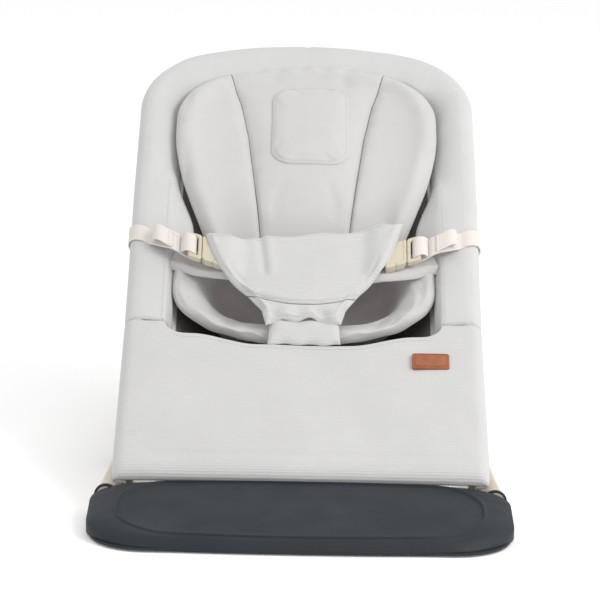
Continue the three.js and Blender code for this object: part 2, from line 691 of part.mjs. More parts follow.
function pivotLug() {
  const lean = Math.atan2(HOOP_FRONT_Z - AXLE_Z, HOOP_FRONT_Y - AXLE_Y);
  const shape = new THREE.Shape();
  shape.absarc(AXLE_Y, AXLE_Z, LUG_RADIUS, lean + Math.PI / 2, lean + 1.5 * Math.PI, false);
  shape.absarc(HOOP_FRONT_Y, HOOP_FRONT_Z, LUG_RADIUS, lean - Math.PI / 2, lean + Math.PI / 2, false);
  shape.holes.push(new THREE.Path().absarc(AXLE_Y, AXLE_Z, AXLE_RADIUS + RUN_GAP, 0, 2 * Math.PI, true));
  return prismAlongX(shape, LUG_OUT - LUG_THICKNESS, LUG_OUT, 8);
}

function hoopTube(from, to) {
  return alongHoop(ringShape(HOOP_TUBE_RADIUS, HOOP_TUBE_RADIUS - TUBE_WALL), from, to);
}

function hemBar() {
  const end = LUG_OUT - LUG_THICKNESS - FIT_GAP;
  return rodAlongX(HEM_BAR_RADIUS, -end, end, HOOP_FRONT_Y, HOOP_FRONT_Z, 14);
}

// ---- Cover and sling ----------------------------------------------------------------------------------------

const WRAP_INNER = HOOP_TUBE_RADIUS + FABRIC_GAP;
const WRAP_OUTER = WRAP_INNER + FABRIC;

// The front panel is stretched over both side tubes and wraps under them.
function frontPanel() {
  const [top, end] = [Math.PI / 2, rad(WRAP_END)];
  const x = HOOP_HALF_WIDTH;
  const shape = new THREE.Shape();
  shape.absarc(x, 0, WRAP_OUTER, end, top, false);
  shape.absarc(-x, 0, WRAP_OUTER, top, Math.PI - end, false);
  shape.absarc(-x, 0, WRAP_INNER, Math.PI - end, top, true);
  shape.absarc(x, 0, WRAP_INNER, top, end, true);
  return alongSlope(shape, LUG_RADIUS + 1, FRONT_PANEL_END - FIT_GAP, 1);
}

function hemChannel() {
  const [inner, outer] = [HEM_BAR_RADIUS + FIT_GAP, HEM_BAR_RADIUS + FIT_GAP + FABRIC];
  const shape = new THREE.Shape();
  shape.absarc(HOOP_FRONT_Y, HOOP_FRONT_Z, outer, rad(60), rad(320), false);
  shape.absarc(HOOP_FRONT_Y, HOOP_FRONT_Z, inner, rad(320), rad(60), true);
  const end = LUG_OUT - LUG_THICKNESS - FIT_GAP;
  return prismAlongX(shape, -end, end, 6);
}

// One half of the border: it wraps the tube and reaches inwards, wider at the top, where the two halves meet.
function coverBorder() {
  const [top, end] = [Math.PI / 2, rad(WRAP_END)];
  const shape = new THREE.Shape();
  shape.absarc(0, 0, WRAP_OUTER, end, top, false);
  shape.lineTo(-BORDER_SIDE, WRAP_OUTER - BORDER_DROP);
  shape.lineTo(-BORDER_SIDE, WRAP_INNER - BORDER_DROP);
  shape.absarc(0, 0, WRAP_INNER, top, end, true);
  const widest = (BORDER_TOP - HOOP_TUBE_RADIUS) / (BORDER_SIDE - HOOP_TUBE_RADIUS);
  const cornerEnd = SIDE_LENGTH + HOOP_CORNER * CORNER_SWEEP;
  const widen = (q) => 1 + (widest - 1) * THREE.MathUtils.smoothstep(q, SIDE_LENGTH - 5, cornerEnd);
  return alongHoop(shape, FRONT_PANEL_END, HALF_HOOP - FIT_GAP / 2, widen);
}

// Height of the insert's underside over the plane of the hoop: a deep hollow at the seat, shallow at the back.
function insertFloor(x, s) {
  const seat = SEAT_SAG * Math.exp(-(((s - SEAT_SAG_AT) / SEAT_SAG_SPREAD) ** 2));
  const lip = THREE.MathUtils.smoothstep(s, FRONT_PANEL_END + 5, FRONT_PANEL_END + 75);
  const share = Math.min(Math.abs(x) / SLING_HALF_WIDTH, 1);
  return -(BACK_SAG + seat) * lip * (1 - share ** 3);
}

// Half width of an outline that is full up to one place and rounds off towards another.
function rounded(full, s, from, to, power) {
  const past = clamp((s - from) / (to - from), 0, 1);
  return full * (1 - past ** power) ** (1 / power);
}

function backSling() {
  const start = FRONT_PANEL_END + 2;
  return slab(10, 18, (across, along, up) => {
    const s = THREE.MathUtils.lerp(start, SLING_END, along);
    const x = across * rounded(SLING_HALF_WIDTH, s, SIDE_LENGTH - 30, SLING_END + 15, 2.4);
    return [x, s, insertFloor(x, s) - INSERT_GAP - FABRIC * (1 - up)];
  });
}

// ---- Insert -------------------------------------------------------------------------------------------------

function seatBucket() {
  return slab(10, 7, (across, along, up) => {
    const s = THREE.MathUtils.lerp(BUCKET_START, BUCKET_END, along);
    const x = across * rounded(BUCKET_HALF_WIDTH, s, BUCKET_START + 55, BUCKET_START - 3, 2.8);
    return [x, s, insertFloor(x, s) + BUCKET_THICKNESS * up];
  });
}

function backPad() {
  return slab(8, 10, (across, along, up) => {
    const s = THREE.MathUtils.lerp(BACK_PAD_START, BACK_PAD_END, along);
    const spread = Math.sin((Math.PI / 2) * clamp((s - BACK_PAD_START) / (BACK_PAD_WIDEST - BACK_PAD_START), 0, 1));
    const full = THREE.MathUtils.lerp(BACK_PAD_FOOT_HALF_WIDTH, BACK_PAD_HALF_WIDTH, spread);
    const x = across * rounded(full, s, BACK_PAD_WIDEST, BACK_PAD_END + 4, 2.6);
    const crown = 0.3 + 0.7 * (1 - Math.abs(across) ** 3) * (1 - Math.abs(2 * along - 1) ** 6);
    return [x, s, insertFloor(x, s) + BACK_PAD_THICKNESS * crown * up];
  });
}

function headPanel() {
  return slab(4, 4, (across, along, up) => {
    const s = HEAD_PANEL_START + HEAD_PANEL_LENGTH * along;
    const x = across * HEAD_PANEL_HALF_WIDTH;
    return [x, s, insertFloor(x, s) + BACK_PAD_THICKNESS + 0.8 + HEAD_PANEL_THICKNESS * up];
  });
}

// Padded wing from the side of the insert down towards the lap panel.
function hipWing() {
  const [from, to] = [new THREE.Vector2(138, 334), new THREE.Vector2(84, 292)];
  const side = to.clone().sub(from).normalize().rotateAround(new THREE.Vector2(), Math.PI / 2);
  return slab(2, 3, (across, along, up) => {
    const at = from.clone().lerp(to, along).addScaledVector(side, (across * WING_WIDTH) / 2);
    return [at.x, at.y, WING_LIFT + WING_THICKNESS * up];
  });
}

// ---- Harness ------------------------------------------------------------------------------------------------

function lapPanel() {
  return slab(2, 6, (across, along, up) => {
    const s = THREE.MathUtils.lerp(LAP_FOOT, LAP_TOP, along);
    const spread = THREE.MathUtils.smoothstep(along, 0, 0.75);
    const half = THREE.MathUtils.lerp(LAP_FOOT_HALF_WIDTH, LAP_TOP_HALF_WIDTH - 8, spread) + 8 * along;
    return [across * half, s, LAP_LIFT + LAP_THICKNESS * up];
  });
}

function crotchStrap() {
  return slab(2, 2, (across, along, up) => {
    const s = THREE.MathUtils.lerp(CROTCH_FOOT, LAP_FOOT - FIT_GAP, along);
    const lift = THREE.MathUtils.lerp(CROTCH_LIFT, LAP_LIFT, along);
    return [across * LAP_FOOT_HALF_WIDTH, s, lift + CROTCH_THICKNESS * up];
  });
}

// Places a piece drawn about the buckle: its x runs outwards along the strap and its z away from the seat.
const BUCKLE_LIFT = LAP_LIFT + LAP_THICKNESS + FIT_GAP;
const STRAP_SLOPE = Math.tan(rad(STRAP_TILT));

function atBuckle(geometry) {
  const { angle } = slopeAt(BUCKLE_S);
  const up = new THREE.Vector3(0, Math.cos(angle), Math.sin(angle));
  const out = new THREE.Vector3(Math.cos(rad(STRAP_TILT)), 0, 0).addScaledVector(up, Math.sin(rad(STRAP_TILT)));
  const normal = new THREE.Vector3(0, -Math.sin(angle), Math.cos(angle));
  const side = normal.clone().cross(out);
  const matrix = new THREE.Matrix4().makeBasis(out, side, normal);
  matrix.setPosition(seatPoint(BUCKLE_X, BUCKLE_S, BUCKLE_LIFT));
  return geometry.clone().applyMatrix4(matrix);
}

function plank(points, depth, fromZ) {
  const shape = new THREE.Shape(points.map(([x, y]) => new THREE.Vector2(x, y)));
  return moved(new THREE.ExtrudeGeometry(shape, { depth, bevelEnabled: false }), 0, 0, fromZ);
}

const SOCKET_MOUTH = 4; // from the middle of the buckle to the mouth of the socket

function buckleSocket() {
  const [wide, narrow] = [BUCKLE_WIDTH / 2, BUCKLE_WIDTH / 2 - 7];
  const back = SOCKET_MOUTH - SOCKET_LENGTH;
  const outline = [
    [back, -narrow],
    [SOCKET_MOUTH - 6, -wide],
    [SOCKET_MOUTH, -wide],
    [SOCKET_MOUTH, wide],
    [SOCKET_MOUTH - 6, wide],
    [back, narrow],
  ];
  const body = plank(outline, BUCKLE_THICKNESS, 0);
  const height = PRONG_THICKNESS + 2 * RUN_GAP;
  const cavity = new THREE.BoxGeometry(2 * (PRONG_LENGTH + 3), BUCKLE_WIDTH - 10, height);
  return cut(body, moved(cavity, SOCKET_MOUTH, 0, BUCKLE_THICKNESS / 2));
}

function buckleTongue() {
  const wide = BUCKLE_WIDTH / 2 - 1;
  const [inner, outer] = [SOCKET_MOUTH + RUN_GAP, SOCKET_MOUTH + RUN_GAP + TONGUE_LENGTH];
  const frame = plank([[inner, -wide], [outer, -wide], [outer, wide], [inner, wide]], BUCKLE_THICKNESS, 0);
  const slotLength = TONGUE_LENGTH - 9;
  const slot = new THREE.BoxGeometry(slotLength, STRAP_WIDTH + 1, 3 * BUCKLE_THICKNESS);
  const open = cut(frame, moved(slot, inner + 5 + slotLength / 2, 0, 0));
  const prong = new THREE.BoxGeometry(PRONG_LENGTH + 2, PRONG_WIDTH, PRONG_THICKNESS);
  const prongX = inner + 1 - (PRONG_LENGTH + 2) / 2 + 1;
  const prongY = (BUCKLE_WIDTH - 12) / 2 - PRONG_WIDTH / 2;
  const prongs = [-prongY, prongY].map((y) => moved(prong, prongX, y, BUCKLE_THICKNESS / 2));
  return join(open, ...prongs);
}

// The strap leaves the tongue, runs out to the hoop and wraps it. It is drawn in (x, n) and sheared up the slope.
function strap() {
  const start = BUCKLE_X + (SOCKET_MOUTH + TONGUE_LENGTH + 2) * Math.cos(rad(STRAP_TILT)) + 6;
  const lift = BUCKLE_LIFT + BUCKLE_THICKNESS / 2;
  const inner = WRAP_OUTER + FIT_GAP + 0.2;
  const outer = inner + STRAP_THICKNESS;
  const [meet, end] = [rad(112), rad(WRAP_END)];
  const shape = new THREE.Shape();
  shape.moveTo(start, lift + STRAP_THICKNESS / 2);
  shape.absarc(HOOP_HALF_WIDTH, 0, outer, meet, end, true);
  shape.absarc(HOOP_HALF_WIDTH, 0, inner, end, meet, false);
  shape.lineTo(start, lift - STRAP_THICKNESS / 2);
  const band = new THREE.ExtrudeGeometry(shape, { depth: 1, steps: 1, bevelEnabled: false, curveSegments: 7 });
  const width = STRAP_WIDTH / Math.cos(rad(STRAP_TILT));
  return reshape(band, (p) => {
    const s = BUCKLE_S + (p.x - BUCKLE_X) * STRAP_SLOPE + (p.z - 0.5) * width;
    return seatPoint(p.x, s, p.y);
  });
}

function leatherTag() {
  return slab(1, 1, (across, along, up) => [
    TAG_X + (across * TAG_WIDTH) / 2,
    TAG_S + (along - 0.5) * TAG_HEIGHT,
    WRAP_OUTER + FIT_GAP + TAG_THICKNESS * up,
  ]);
}

// ---- Materials and assembly ---------------------------------------------------------------------------------

function finish(color, roughness, metalness = 0) {
  return new THREE.MeshStandardMaterial({ color, roughness, metalness });
}

const FINISHES = {
  plate: finish(0x44484e, 0.55),
  tube: finish(0xc8bca6, 0.35, 0.7),
  steel: finish(0xb9b9b9, 0.3, 1),
  rubber: finish(0x26282b, 0.9),
  bracket: finish(0x3a3d42, 0.6),
  cover: finish(0xdcdbd9, 0.95),
  insert: finish(0xd8d7d5, 0.95),
  webbing: finish(0xf0e8e0, 0.85),
  buckle: finish(0xd8cfae, 0.45),
  leather: finish(0xbe7041, 0.6),
};

const seat = new THREE.Group();

function add(name, finishName, geometry) {
  const shaded = geometry.index ? geometry.toNonIndexed() : geometry;
  shaded.computeVertexNormals();
  const mesh = new THREE.Mesh(shaded, FINISHES[finishName]);
  mesh.name = name;
  seat.add(mesh);
}

function addPair(name, finishName, rightGeometry) {
  add(`${name}_right`, finishName, rightGeometry);
  add(`${name}_left`, finishName, mirrored(rightGeometry));
}

add("plate_shell", "plate", plateShell());
add("plate_cover", "plate", plateCover());
SCREW_PLACES.forEach(([x, y], i) => add(`plate_screw_${i + 1}`, "steel", coverScrew(x, y)));
addPair("plate_pad", "rubber", moved(rubberPad(), PLATE_WIDTH / 4, PLATE_DEPTH / 2, 0));
addPair("tube_clamp", "bracket", tubeClamp());
addPair("base_tube", "tube", baseSideTube());
add("base_rear_tube", "tube", baseRearTube());
addPair("rear_foot", "rubber", rearFoot());
add("cross_tube", "tube", crossTube());
addPair("recline_bracket", "bracket", reclineBracket());

addPair("pivot_lug", "tube", pivotLug());
addPair("hoop_side_tube", "tube", hoopTube(LUG_RADIUS + FIT_GAP, SIDE_LENGTH));
add("hoop_top_tube", "tube", hoopTube(SIDE_LENGTH + FIT_GAP, 2 * HALF_HOOP - SIDE_LENGTH - FIT_GAP));
add("hem_bar", "tube", hemBar());
addPair("stand_bush", "bracket", standBush());
add("front_panel", "cover", frontPanel());
add("hem_channel", "cover", hemChannel());
addPair("cover_border", "cover", coverBorder());
add("back_sling", "cover", backSling());
add("seat_bucket", "insert", seatBucket());
add("back_pad", "insert", backPad());
add("head_panel", "insert", headPanel());
addPair("hip_wing", "insert", hipWing());
add("lap_panel", "cover", lapPanel());
add("crotch_strap", "cover", crotchStrap());
addPair("buckle_socket", "buckle", atBuckle(buckleSocket()));
addPair("buckle_tongue", "buckle", atBuckle(buckleTongue()));
addPair("strap", "webbing", strap());
add("leather_tag", "leather", leatherTag());

addPair("stand_leg", "steel", standLeg());
add("foot_bar", "steel", footBar());
add("stand_grip", "rubber", standGrip());

const bounds = new THREE.Box3().setFromObject(seat);
const centre = bounds.getCenter(new THREE.Vector3());
seat.position.set(-centre.x, -centre.y, -bounds.min.z);

const bouncer = new THREE.Group();
bouncer.add(seat);

export default bouncer;
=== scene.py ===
"""Fabric, padding, tubes, fittings and finishes of a baby bouncer seat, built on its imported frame."""

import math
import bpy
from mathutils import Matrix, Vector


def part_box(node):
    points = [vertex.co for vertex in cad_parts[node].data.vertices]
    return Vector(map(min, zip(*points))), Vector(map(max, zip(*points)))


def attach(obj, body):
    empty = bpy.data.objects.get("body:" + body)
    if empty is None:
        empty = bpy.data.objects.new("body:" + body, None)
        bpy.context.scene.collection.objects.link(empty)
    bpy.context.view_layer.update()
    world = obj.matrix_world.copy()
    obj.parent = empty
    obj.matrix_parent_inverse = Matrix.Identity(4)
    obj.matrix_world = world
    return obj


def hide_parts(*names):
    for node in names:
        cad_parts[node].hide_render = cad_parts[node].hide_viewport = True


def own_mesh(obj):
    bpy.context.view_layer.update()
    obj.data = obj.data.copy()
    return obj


bl_info = {
    "name": "Bouncer Seat",
    "version": (1, 0, 0),
    "blender": (4, 5, 0),
    "location": "View3D > Sidebar > Bouncer",
    "description": "Builds the cover, padding, harness, tubes and plate of a baby bouncer seat",
    "category": "Object",
}

import bmesh
import bpy
import numpy as np
from bpy.props import FloatProperty, FloatVectorProperty, IntProperty, PointerProperty
from mathutils import Matrix, Vector, noise
from mathutils.bvhtree import BVHTree

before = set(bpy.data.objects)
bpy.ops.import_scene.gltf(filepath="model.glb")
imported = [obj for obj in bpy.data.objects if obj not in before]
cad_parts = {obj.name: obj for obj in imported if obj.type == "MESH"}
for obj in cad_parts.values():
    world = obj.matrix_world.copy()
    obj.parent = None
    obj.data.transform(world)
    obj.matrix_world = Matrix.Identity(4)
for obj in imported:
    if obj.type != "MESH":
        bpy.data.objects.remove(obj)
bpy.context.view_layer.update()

MM = 0.001
SIDES = ((1, "right"), (-1, "left"))
FRONT_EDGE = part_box("plate_shell")[0].y / MM  # the layout below measures Y back from the plate's front edge

# ---- Lie of the hoop, in millimetres ----

HOOP_FRONT = (162.0, 41.0)  # y and z of the front bar
HOOP_HALF_WIDTH = 182.0
HOOP_LENGTH = 700.0
HOOP_CORNER = 92.0
HOOP_CROWN = 420.0
TUBE_RADIUS = 10.0
SLOPES = (26.5, 35.5, 29.0)  # degrees of the front, middle and top of the side tubes
BEND_RADIUS = 300.0
BEND_AT = (200.0, 417.12)  # how far up the slope the two bends start
SLOPE_STEP = 0.25

CROWN_ANGLE = math.asin((HOOP_HALF_WIDTH - HOOP_CORNER) / (HOOP_CROWN - HOOP_CORNER))
SIDE_LENGTH = HOOP_LENGTH - HOOP_CROWN * (1 - math.cos(CROWN_ANGLE)) - HOOP_CORNER * math.cos(CROWN_ANGLE)
CORNER_SWEEP = math.pi / 2 - CROWN_ANGLE
HALF_HOOP = SIDE_LENGTH + HOOP_CORNER * CORNER_SWEEP + HOOP_CROWN * CROWN_ANGLE


def smooth(value, low, high):
    """0 below low, 1 above high, and an even rise between."""
    t = np.clip((value - low) / (high - low), 0, 1)
    return t * t * (3 - 2 * t)


def bell(value, middle, spread):
    return np.exp(-(((value - middle) / spread) ** 2))


def mix(a, b, share):
    return a + (b - a) * share


def slope_table():
    """Place and angle of the hoop's surface at every step up the slope."""
    s = np.arange(-120, 860, SLOPE_STEP)
    first, second, third = (math.radians(a) for a in SLOPES)
    angle = first + np.clip((s - BEND_AT[0]) / BEND_RADIUS, 0, second - first)
    angle -= np.clip((s - BEND_AT[1]) / BEND_RADIUS, 0, second - third)
    between = (angle[1:] + angle[:-1]) / 2
    y = np.concatenate([[0], np.cumsum(np.cos(between) * SLOPE_STEP)])
    z = np.concatenate([[0], np.cumsum(np.sin(between) * SLOPE_STEP)])
    start = np.argmin(np.abs(s))
    return s, y - y[start] + HOOP_FRONT[0], z - z[start] + HOOP_FRONT[1], angle


SLOPE = slope_table()


def seat_points(x, s, n):
    """Points in metres from x across, s up the slope and n off the surface, in millimetres."""
    x, s, n = np.broadcast_arrays(*(np.asarray(v, float) for v in (x, s, n)))
    y, z, angle = (np.interp(s, SLOPE[0], column) for column in SLOPE[1:])
    return np.stack([x, y - n * np.sin(angle) + FRONT_EDGE, z + n * np.cos(angle)], -1) * MM


def seat_coords(points):
    """The reverse of seat_points."""
    p = np.asarray(points, float) / MM
    x, y, z = p[..., 0], p[..., 1] - FRONT_EDGE, p[..., 2]
    s = (y - HOOP_FRONT[0]) * 1.17
    n = np.zeros_like(s)
    for _ in range(14):
        cy, cz, angle = (np.interp(s, SLOPE[0], column) for column in SLOPE[1:])
        dy, dz = y - cy, z - cz
        s = s + dy * np.cos(angle) + dz * np.sin(angle)
        n = dz * np.cos(angle) - dy * np.sin(angle)
    return x, s, n


def slope_at(s):
    return float(np.interp(s, SLOPE[0], SLOPE[3]))


def seat_normal(s):
    return Vector((0, -math.sin(slope_at(s)), math.cos(slope_at(s))))


def hoop_plan(q):
    """Place (x, s) and outward direction on the hoop's centreline, q along it from the right front end."""
    if q > HALF_HOOP:
        x, s, out_x, out_s = hoop_plan(2 * HALF_HOOP - q)
        return -x, s, -out_x, out_s
    if q <= SIDE_LENGTH:
        return HOOP_HALF_WIDTH, q, 1.0, 0.0
    turned = (q - SIDE_LENGTH) / HOOP_CORNER
    if turned <= CORNER_SWEEP:
        out = math.cos(turned), math.sin(turned)
        middle = HOOP_HALF_WIDTH - HOOP_CORNER
        return middle + HOOP_CORNER * out[0], SIDE_LENGTH + HOOP_CORNER * out[1], *out
    angle = CORNER_SWEEP + (q - SIDE_LENGTH - HOOP_CORNER * CORNER_SWEEP) / HOOP_CROWN
    out = math.cos(angle), math.sin(angle)
    return HOOP_CROWN * out[0], HOOP_LENGTH - HOOP_CROWN + HOOP_CROWN * out[1], *out


HOLLOW = (114, 307, 64)  # the seat hollow's oval: half width, middle up the slope, half length; it also bounds the painted shade on the seat pad's floor


def insert_floor(x, s):
    """Height of the insert's underside: a deep hollow at the seat and a shallow one at the back."""
    hollow = 64 * bell(s, 280, 85)
    return -(14 + hollow) * smooth(s, 195, 265) * (1 - np.clip(np.abs(x) / 148, 0, 1) ** 3)


def rounded(full, s, start, end, power):
    """A width that stays full up to start and closes to nothing at end."""
    past = np.clip((s - start) / (end - start), 0, 1)
    return full * (1 - past**power) ** (1 / power)


def wander(points, size, seed):
    """Soft noise from -1 to 1 at each point in metres, with features of the given size in millimetres."""
    flat = np.asarray(points, float).reshape(-1, 3) / (size * MM)
    away = Vector((seed * 17.3, seed * 5.1, 0))
    return np.array([noise.noise(Vector(p) + away) for p in flat]).reshape(np.shape(points)[:-1])


def rise(to_edge, width):
    """The rounded rise of a pad from its edge: 0 at the edge and 1 from width on."""
    return np.sqrt(np.clip(to_edge / width, 0, 1))


# ---- Sizes and colours a user may change ----


def colour(name, description, default):
    return FloatVectorProperty(
        name=name, description=description, default=default, subtype="COLOR", size=3, min=0, max=1
    )


def size(name, description, millimetres, low=0.0):
    return FloatProperty(
        name=name, description=description, default=millimetres * MM, min=low * MM, unit="LENGTH", subtype="DISTANCE"
    )


class CoverSizes(bpy.types.PropertyGroup):
    """Sizes of the cover and the sling"""

    cloth: size("Cloth thickness", "Thickness of the cover's cloth", 2.2)
    border: size("Border width", "How far the border reaches in from the side tubes", 30)
    hem: size("Hem reach", "How far the hem hangs in front of the front bar", 9)
    rib_pitch: size("Rib pitch", "Distance from rib to rib on the ribbed cloth", 3.1)
    stitch: size("Stitch length", "Length of one stitch", 2.2)
    stitch_pitch: size("Stitch pitch", "Distance from stitch to stitch", 3.6)


class InsertSizes(bpy.types.PropertyGroup):
    """Sizes of the padded insert"""

    pad: size("Back pad thickness", "Thickness of the back pad in its middle", 17)
    bucket: size("Seat pad thickness", "Thickness of the seat hollow's padding", 11)
    wing: size("Wing thickness", "Thickness of the two hip wings", 7)
    lap: size("Lap panel thickness", "Thickness of the lap panel", 5)
    pressure: FloatProperty(name="Stuffing", description="Pressure that fills the pads", default=4.0, min=0, max=20)
    swell: size("Largest swell", "How far the stuffing may push the cloth out", 6)


class HarnessSizes(bpy.types.PropertyGroup):
    """Sizes of the webbing, buckles and tag"""

    webbing: size("Webbing width", "Width of the harness webbing", 25)
    webbing_thickness: size("Webbing thickness", "Thickness of the harness webbing", 1.5)
    buckle: size("Buckle width", "Width of the buckles", 34)
    tag_width: size("Tag width", "Width of the leather tag", 40)
    tag_height: size("Tag height", "Height of the leather tag", 25)


class BaseSizes(bpy.types.PropertyGroup):
    """Sizes of the plate and tubes"""

    tube: size("Tube radius", "Radius of the round frame tubes", TUBE_RADIUS)
    sides: IntProperty(name="Tube sides", description="Number of sides of the round tubes", default=40, min=8, max=96)
    recess: size("Plate recess", "Depth of the plate's recessed panel", 1.2)


class Finishes(bpy.types.PropertyGroup):
    """Colours of the finishes"""

    cover: colour("Cover", "Plain cover cloth", (0.565, 0.565, 0.562))
    ribbed: colour("Ribbed cloth", "Ribbed cloth of the front panel and lap panel", (0.572, 0.570, 0.566))
    insert: colour("Insert", "Cloth of the padded insert", (0.556, 0.550, 0.544))
    # The lining is a dark sheet of painted shade. It is seen only through the gaps beneath the insert.
    shade_lining: colour("Lining", "Dark open mesh of the sling", (0.14, 0.12, 0.112))
    webbing: colour("Webbing", "Harness webbing", (0.69, 0.65, 0.61))
    buckle: colour("Buckle", "Moulded buckles", (0.56, 0.50, 0.39))
    leather: colour("Leather", "Leather tag", (0.31, 0.092, 0.027))
    tube: colour("Tubes", "Champagne coat of the tubes", (0.60, 0.51, 0.39))
    plate: colour("Plate", "Moulded front plate", (0.0105, 0.0150, 0.0205))
    rubber: colour("Rubber", "Feet and grip", (0.03, 0.03, 0.033))
    fitting: colour("Fittings", "Brackets and bushes", (0.045, 0.05, 0.058))
    steel: colour("Screws", "Zinc plated screws", (0.62, 0.62, 0.62))
    floor: colour("Floor", "Studio floor", (0.96, 0.96, 0.96))


def sizes(name):
    return getattr(bpy.context.scene, "bouncer_" + name)


def mm(value):
    return value / MM


# ---- Materials ----


class Shader:
    """A principled material under construction."""

    def __init__(self, name, base, roughness, **values):
        self.material = bpy.data.materials.new(name)
        self.material.use_nodes = True
        self.material.diffuse_color = (*base, 1)
        self.tree = self.material.node_tree
        self.surface = self.tree.nodes["Principled BSDF"]
        self.surface.inputs["Base Color"].default_value = (*base, 1)
        self.surface.inputs["Roughness"].default_value = roughness
        self.base = base
        for key, value in values.items():
            self.surface.inputs[key.replace("_", " ")].default_value = value

    def node(self, kind, inputs=(), **settings):
        made = self.tree.nodes.new("ShaderNode" + kind)
        for key, value in settings.items():
            setattr(made, key, value)
        for key, value in dict(inputs).items():
            if isinstance(value, bpy.types.NodeSocket):
                self.tree.links.new(value, made.inputs[key])
            else:
                made.inputs[key].default_value = value
        return made

    def place(self, scale=(1, 1, 1), uv=False):
        """Coordinates in metres times scale: the object's own, or its lie map."""
        if uv:
            source = self.node("UVMap", uv_map="lie").outputs[0]
        else:
            source = self.node("TexCoord").outputs["Object"]
        return self.node("Mapping", {"Vector": source, "Scale": scale}).outputs[0]

    def noise(self, scale, detail=3.0, uv=False, stretch=(1, 1, 1)):
        inputs = {"Vector": self.place(stretch, uv), "Scale": scale, "Detail": detail, "Roughness": 0.55}
        return self.node("TexNoise", inputs).outputs["Fac"]

    def wave(self, pitch, direction):
        """Even bands over the lie map with the given pitch in metres."""
        inputs = {"Vector": self.place(uv=True), "Scale": math.pi / (10 * pitch)}
        return self.node("TexWave", inputs, bands_direction=direction).outputs["Fac"]

    def product(self, a, b):
        return self.node("Math", {0: a, 1: b}, operation="MULTIPLY").outputs[0]

    def span(self, value, low, high, to_low=0.0, to_high=1.0):
        inputs = {"Value": value, "From Min": low, "From Max": high, "To Min": to_low, "To Max": to_high}
        return self.node("MapRange", inputs).outputs[0]

    def blend(self, share, first, second):
        made = self.node("Mix", data_type="RGBA")
        for socket, value in ((made.inputs[0], share), (made.inputs[6], first), (made.inputs[7], second)):
            if isinstance(value, bpy.types.NodeSocket):
                self.tree.links.new(value, socket)
            else:
                socket.default_value = value if socket is made.inputs[0] else (*value, 1)
        return made.outputs[2]

    def paint(self, colour_socket):
        self.tree.links.new(colour_socket, self.surface.inputs["Base Color"])
        return self

    def rough(self, socket):
        self.tree.links.new(socket, self.surface.inputs["Roughness"])
        return self

    def bump(self, *layers):
        """Layers are (height socket, distance in metres, strength)."""
        last = None
        for height, distance, strength in layers:
            made = self.node("Bump", {"Height": height, "Distance": distance, "Strength": strength})
            if last is not None:
                self.tree.links.new(last, made.inputs["Normal"])
            last = made.outputs[0]
        self.tree.links.new(last, self.surface.inputs["Normal"])
        return self


def shade(base, share):
    return tuple(min(1.0, c * share) for c in base)


def cloth_finish(name, base, thread, ribs=0.0, rib_pitch=0.003, sheen=0.25, hollow=None):
    """Plain woven cloth, with crosswise ribs where ribs is above 0, and painted shade inside an oval of its lie map
    where hollow is given.
    """
    made = Shader(name, base, 0.92, Sheen_Weight=sheen, Sheen_Roughness=0.45, Specular_IOR_Level=0.2)
    warp = made.wave(thread, "X")
    weft = made.wave(thread, "Y")
    weave = made.product(warp, weft)
    slub = made.noise(260, 2.0, uv=True, stretch=(0.25, 1.6, 1))
    cloudy = made.noise(14, 3.0)
    tone = made.span(cloudy, 0.3, 0.7)
    painted = made.blend(tone, shade(base, 0.965), shade(base, 1.02))
    painted = made.blend(made.span(slub, 0.35, 0.75, 0.0, 0.35), painted, shade(base, 0.93))
    painted = made.blend(made.span(weave, 0.0, 0.5, 0.22, 0.0), painted, shade(base, 0.82))
    layers = [(weave, 0.0003, 0.35), (slub, 0.0004, 0.25), (made.noise(60, 3.0), 0.0012, 0.25)]
    if ribs > 0:
        rib = made.wave(rib_pitch, "Y")
        painted = made.blend(made.span(rib, 0.05, 0.45, 0.6 * ribs, 0.0), painted, shade(base, 0.72))
        layers.append((rib, 0.0006, ribs))
    # Painted shade: inside the hollow's oval the cloth turns darker and warmer, standing in for the shadow on the seat
    # pad's floor under the lap panel.
    if hollow:
        wide, middle, long = (v * MM for v in hollow)
        lie = made.node(
            "Mapping",
            {"Vector": made.place(uv=True), "Location": (0, -middle / long, 0), "Scale": (1 / wide, 1 / long, 0)},
        )
        radius = made.node("VectorMath", {0: lie.outputs[0]}, operation="LENGTH").outputs["Value"]
        dark = shade((base[0] * 1.05, base[1], base[2]), 0.62)
        painted = made.blend(made.span(radius, 0.90, 1.02, 1.0, 0.0), painted, dark)
    made.paint(painted).bump(*layers)
    made.rough(made.span(slub, 0.2, 0.8, 0.86, 0.97))
    return made.material


def mesh_finish(name, base):
    """Dark open mesh of the sling's middle: a dark sheet of painted shade, seen only through the gaps beneath the
    insert.
    """
    made = Shader(name, base, 0.85, Sheen_Weight=0.15, Specular_IOR_Level=0.3)
    holes = made.node("TexVoronoi", {"Vector": made.place(uv=True), "Scale": 900.0}).outputs["Distance"]
    painted = made.blend(made.span(holes, 0.25, 0.6), shade(base, 1.1), shade(base, 0.75))
    made.paint(painted).bump((holes, 0.0008, 0.6), (made.noise(90), 0.001, 0.2))
    return made.material


def webbing_finish(name, base):
    made = Shader(name, base, 0.8, Sheen_Weight=0.2, Sheen_Roughness=0.4, Specular_IOR_Level=0.3)
    cross = made.wave(0.0016, "X")
    slub = made.noise(420, 2.0)
    painted = made.blend(made.span(cross, 0.0, 0.5, 0.3, 0.0), base, shade(base, 0.84))
    painted = made.blend(made.span(slub, 0.4, 0.7, 0.0, 0.3), painted, shade(base, 0.92))
    made.paint(painted).bump((cross, 0.0004, 0.35), (slub, 0.0003, 0.3))
    made.rough(made.span(slub, 0.2, 0.8, 0.72, 0.88))
    return made.material


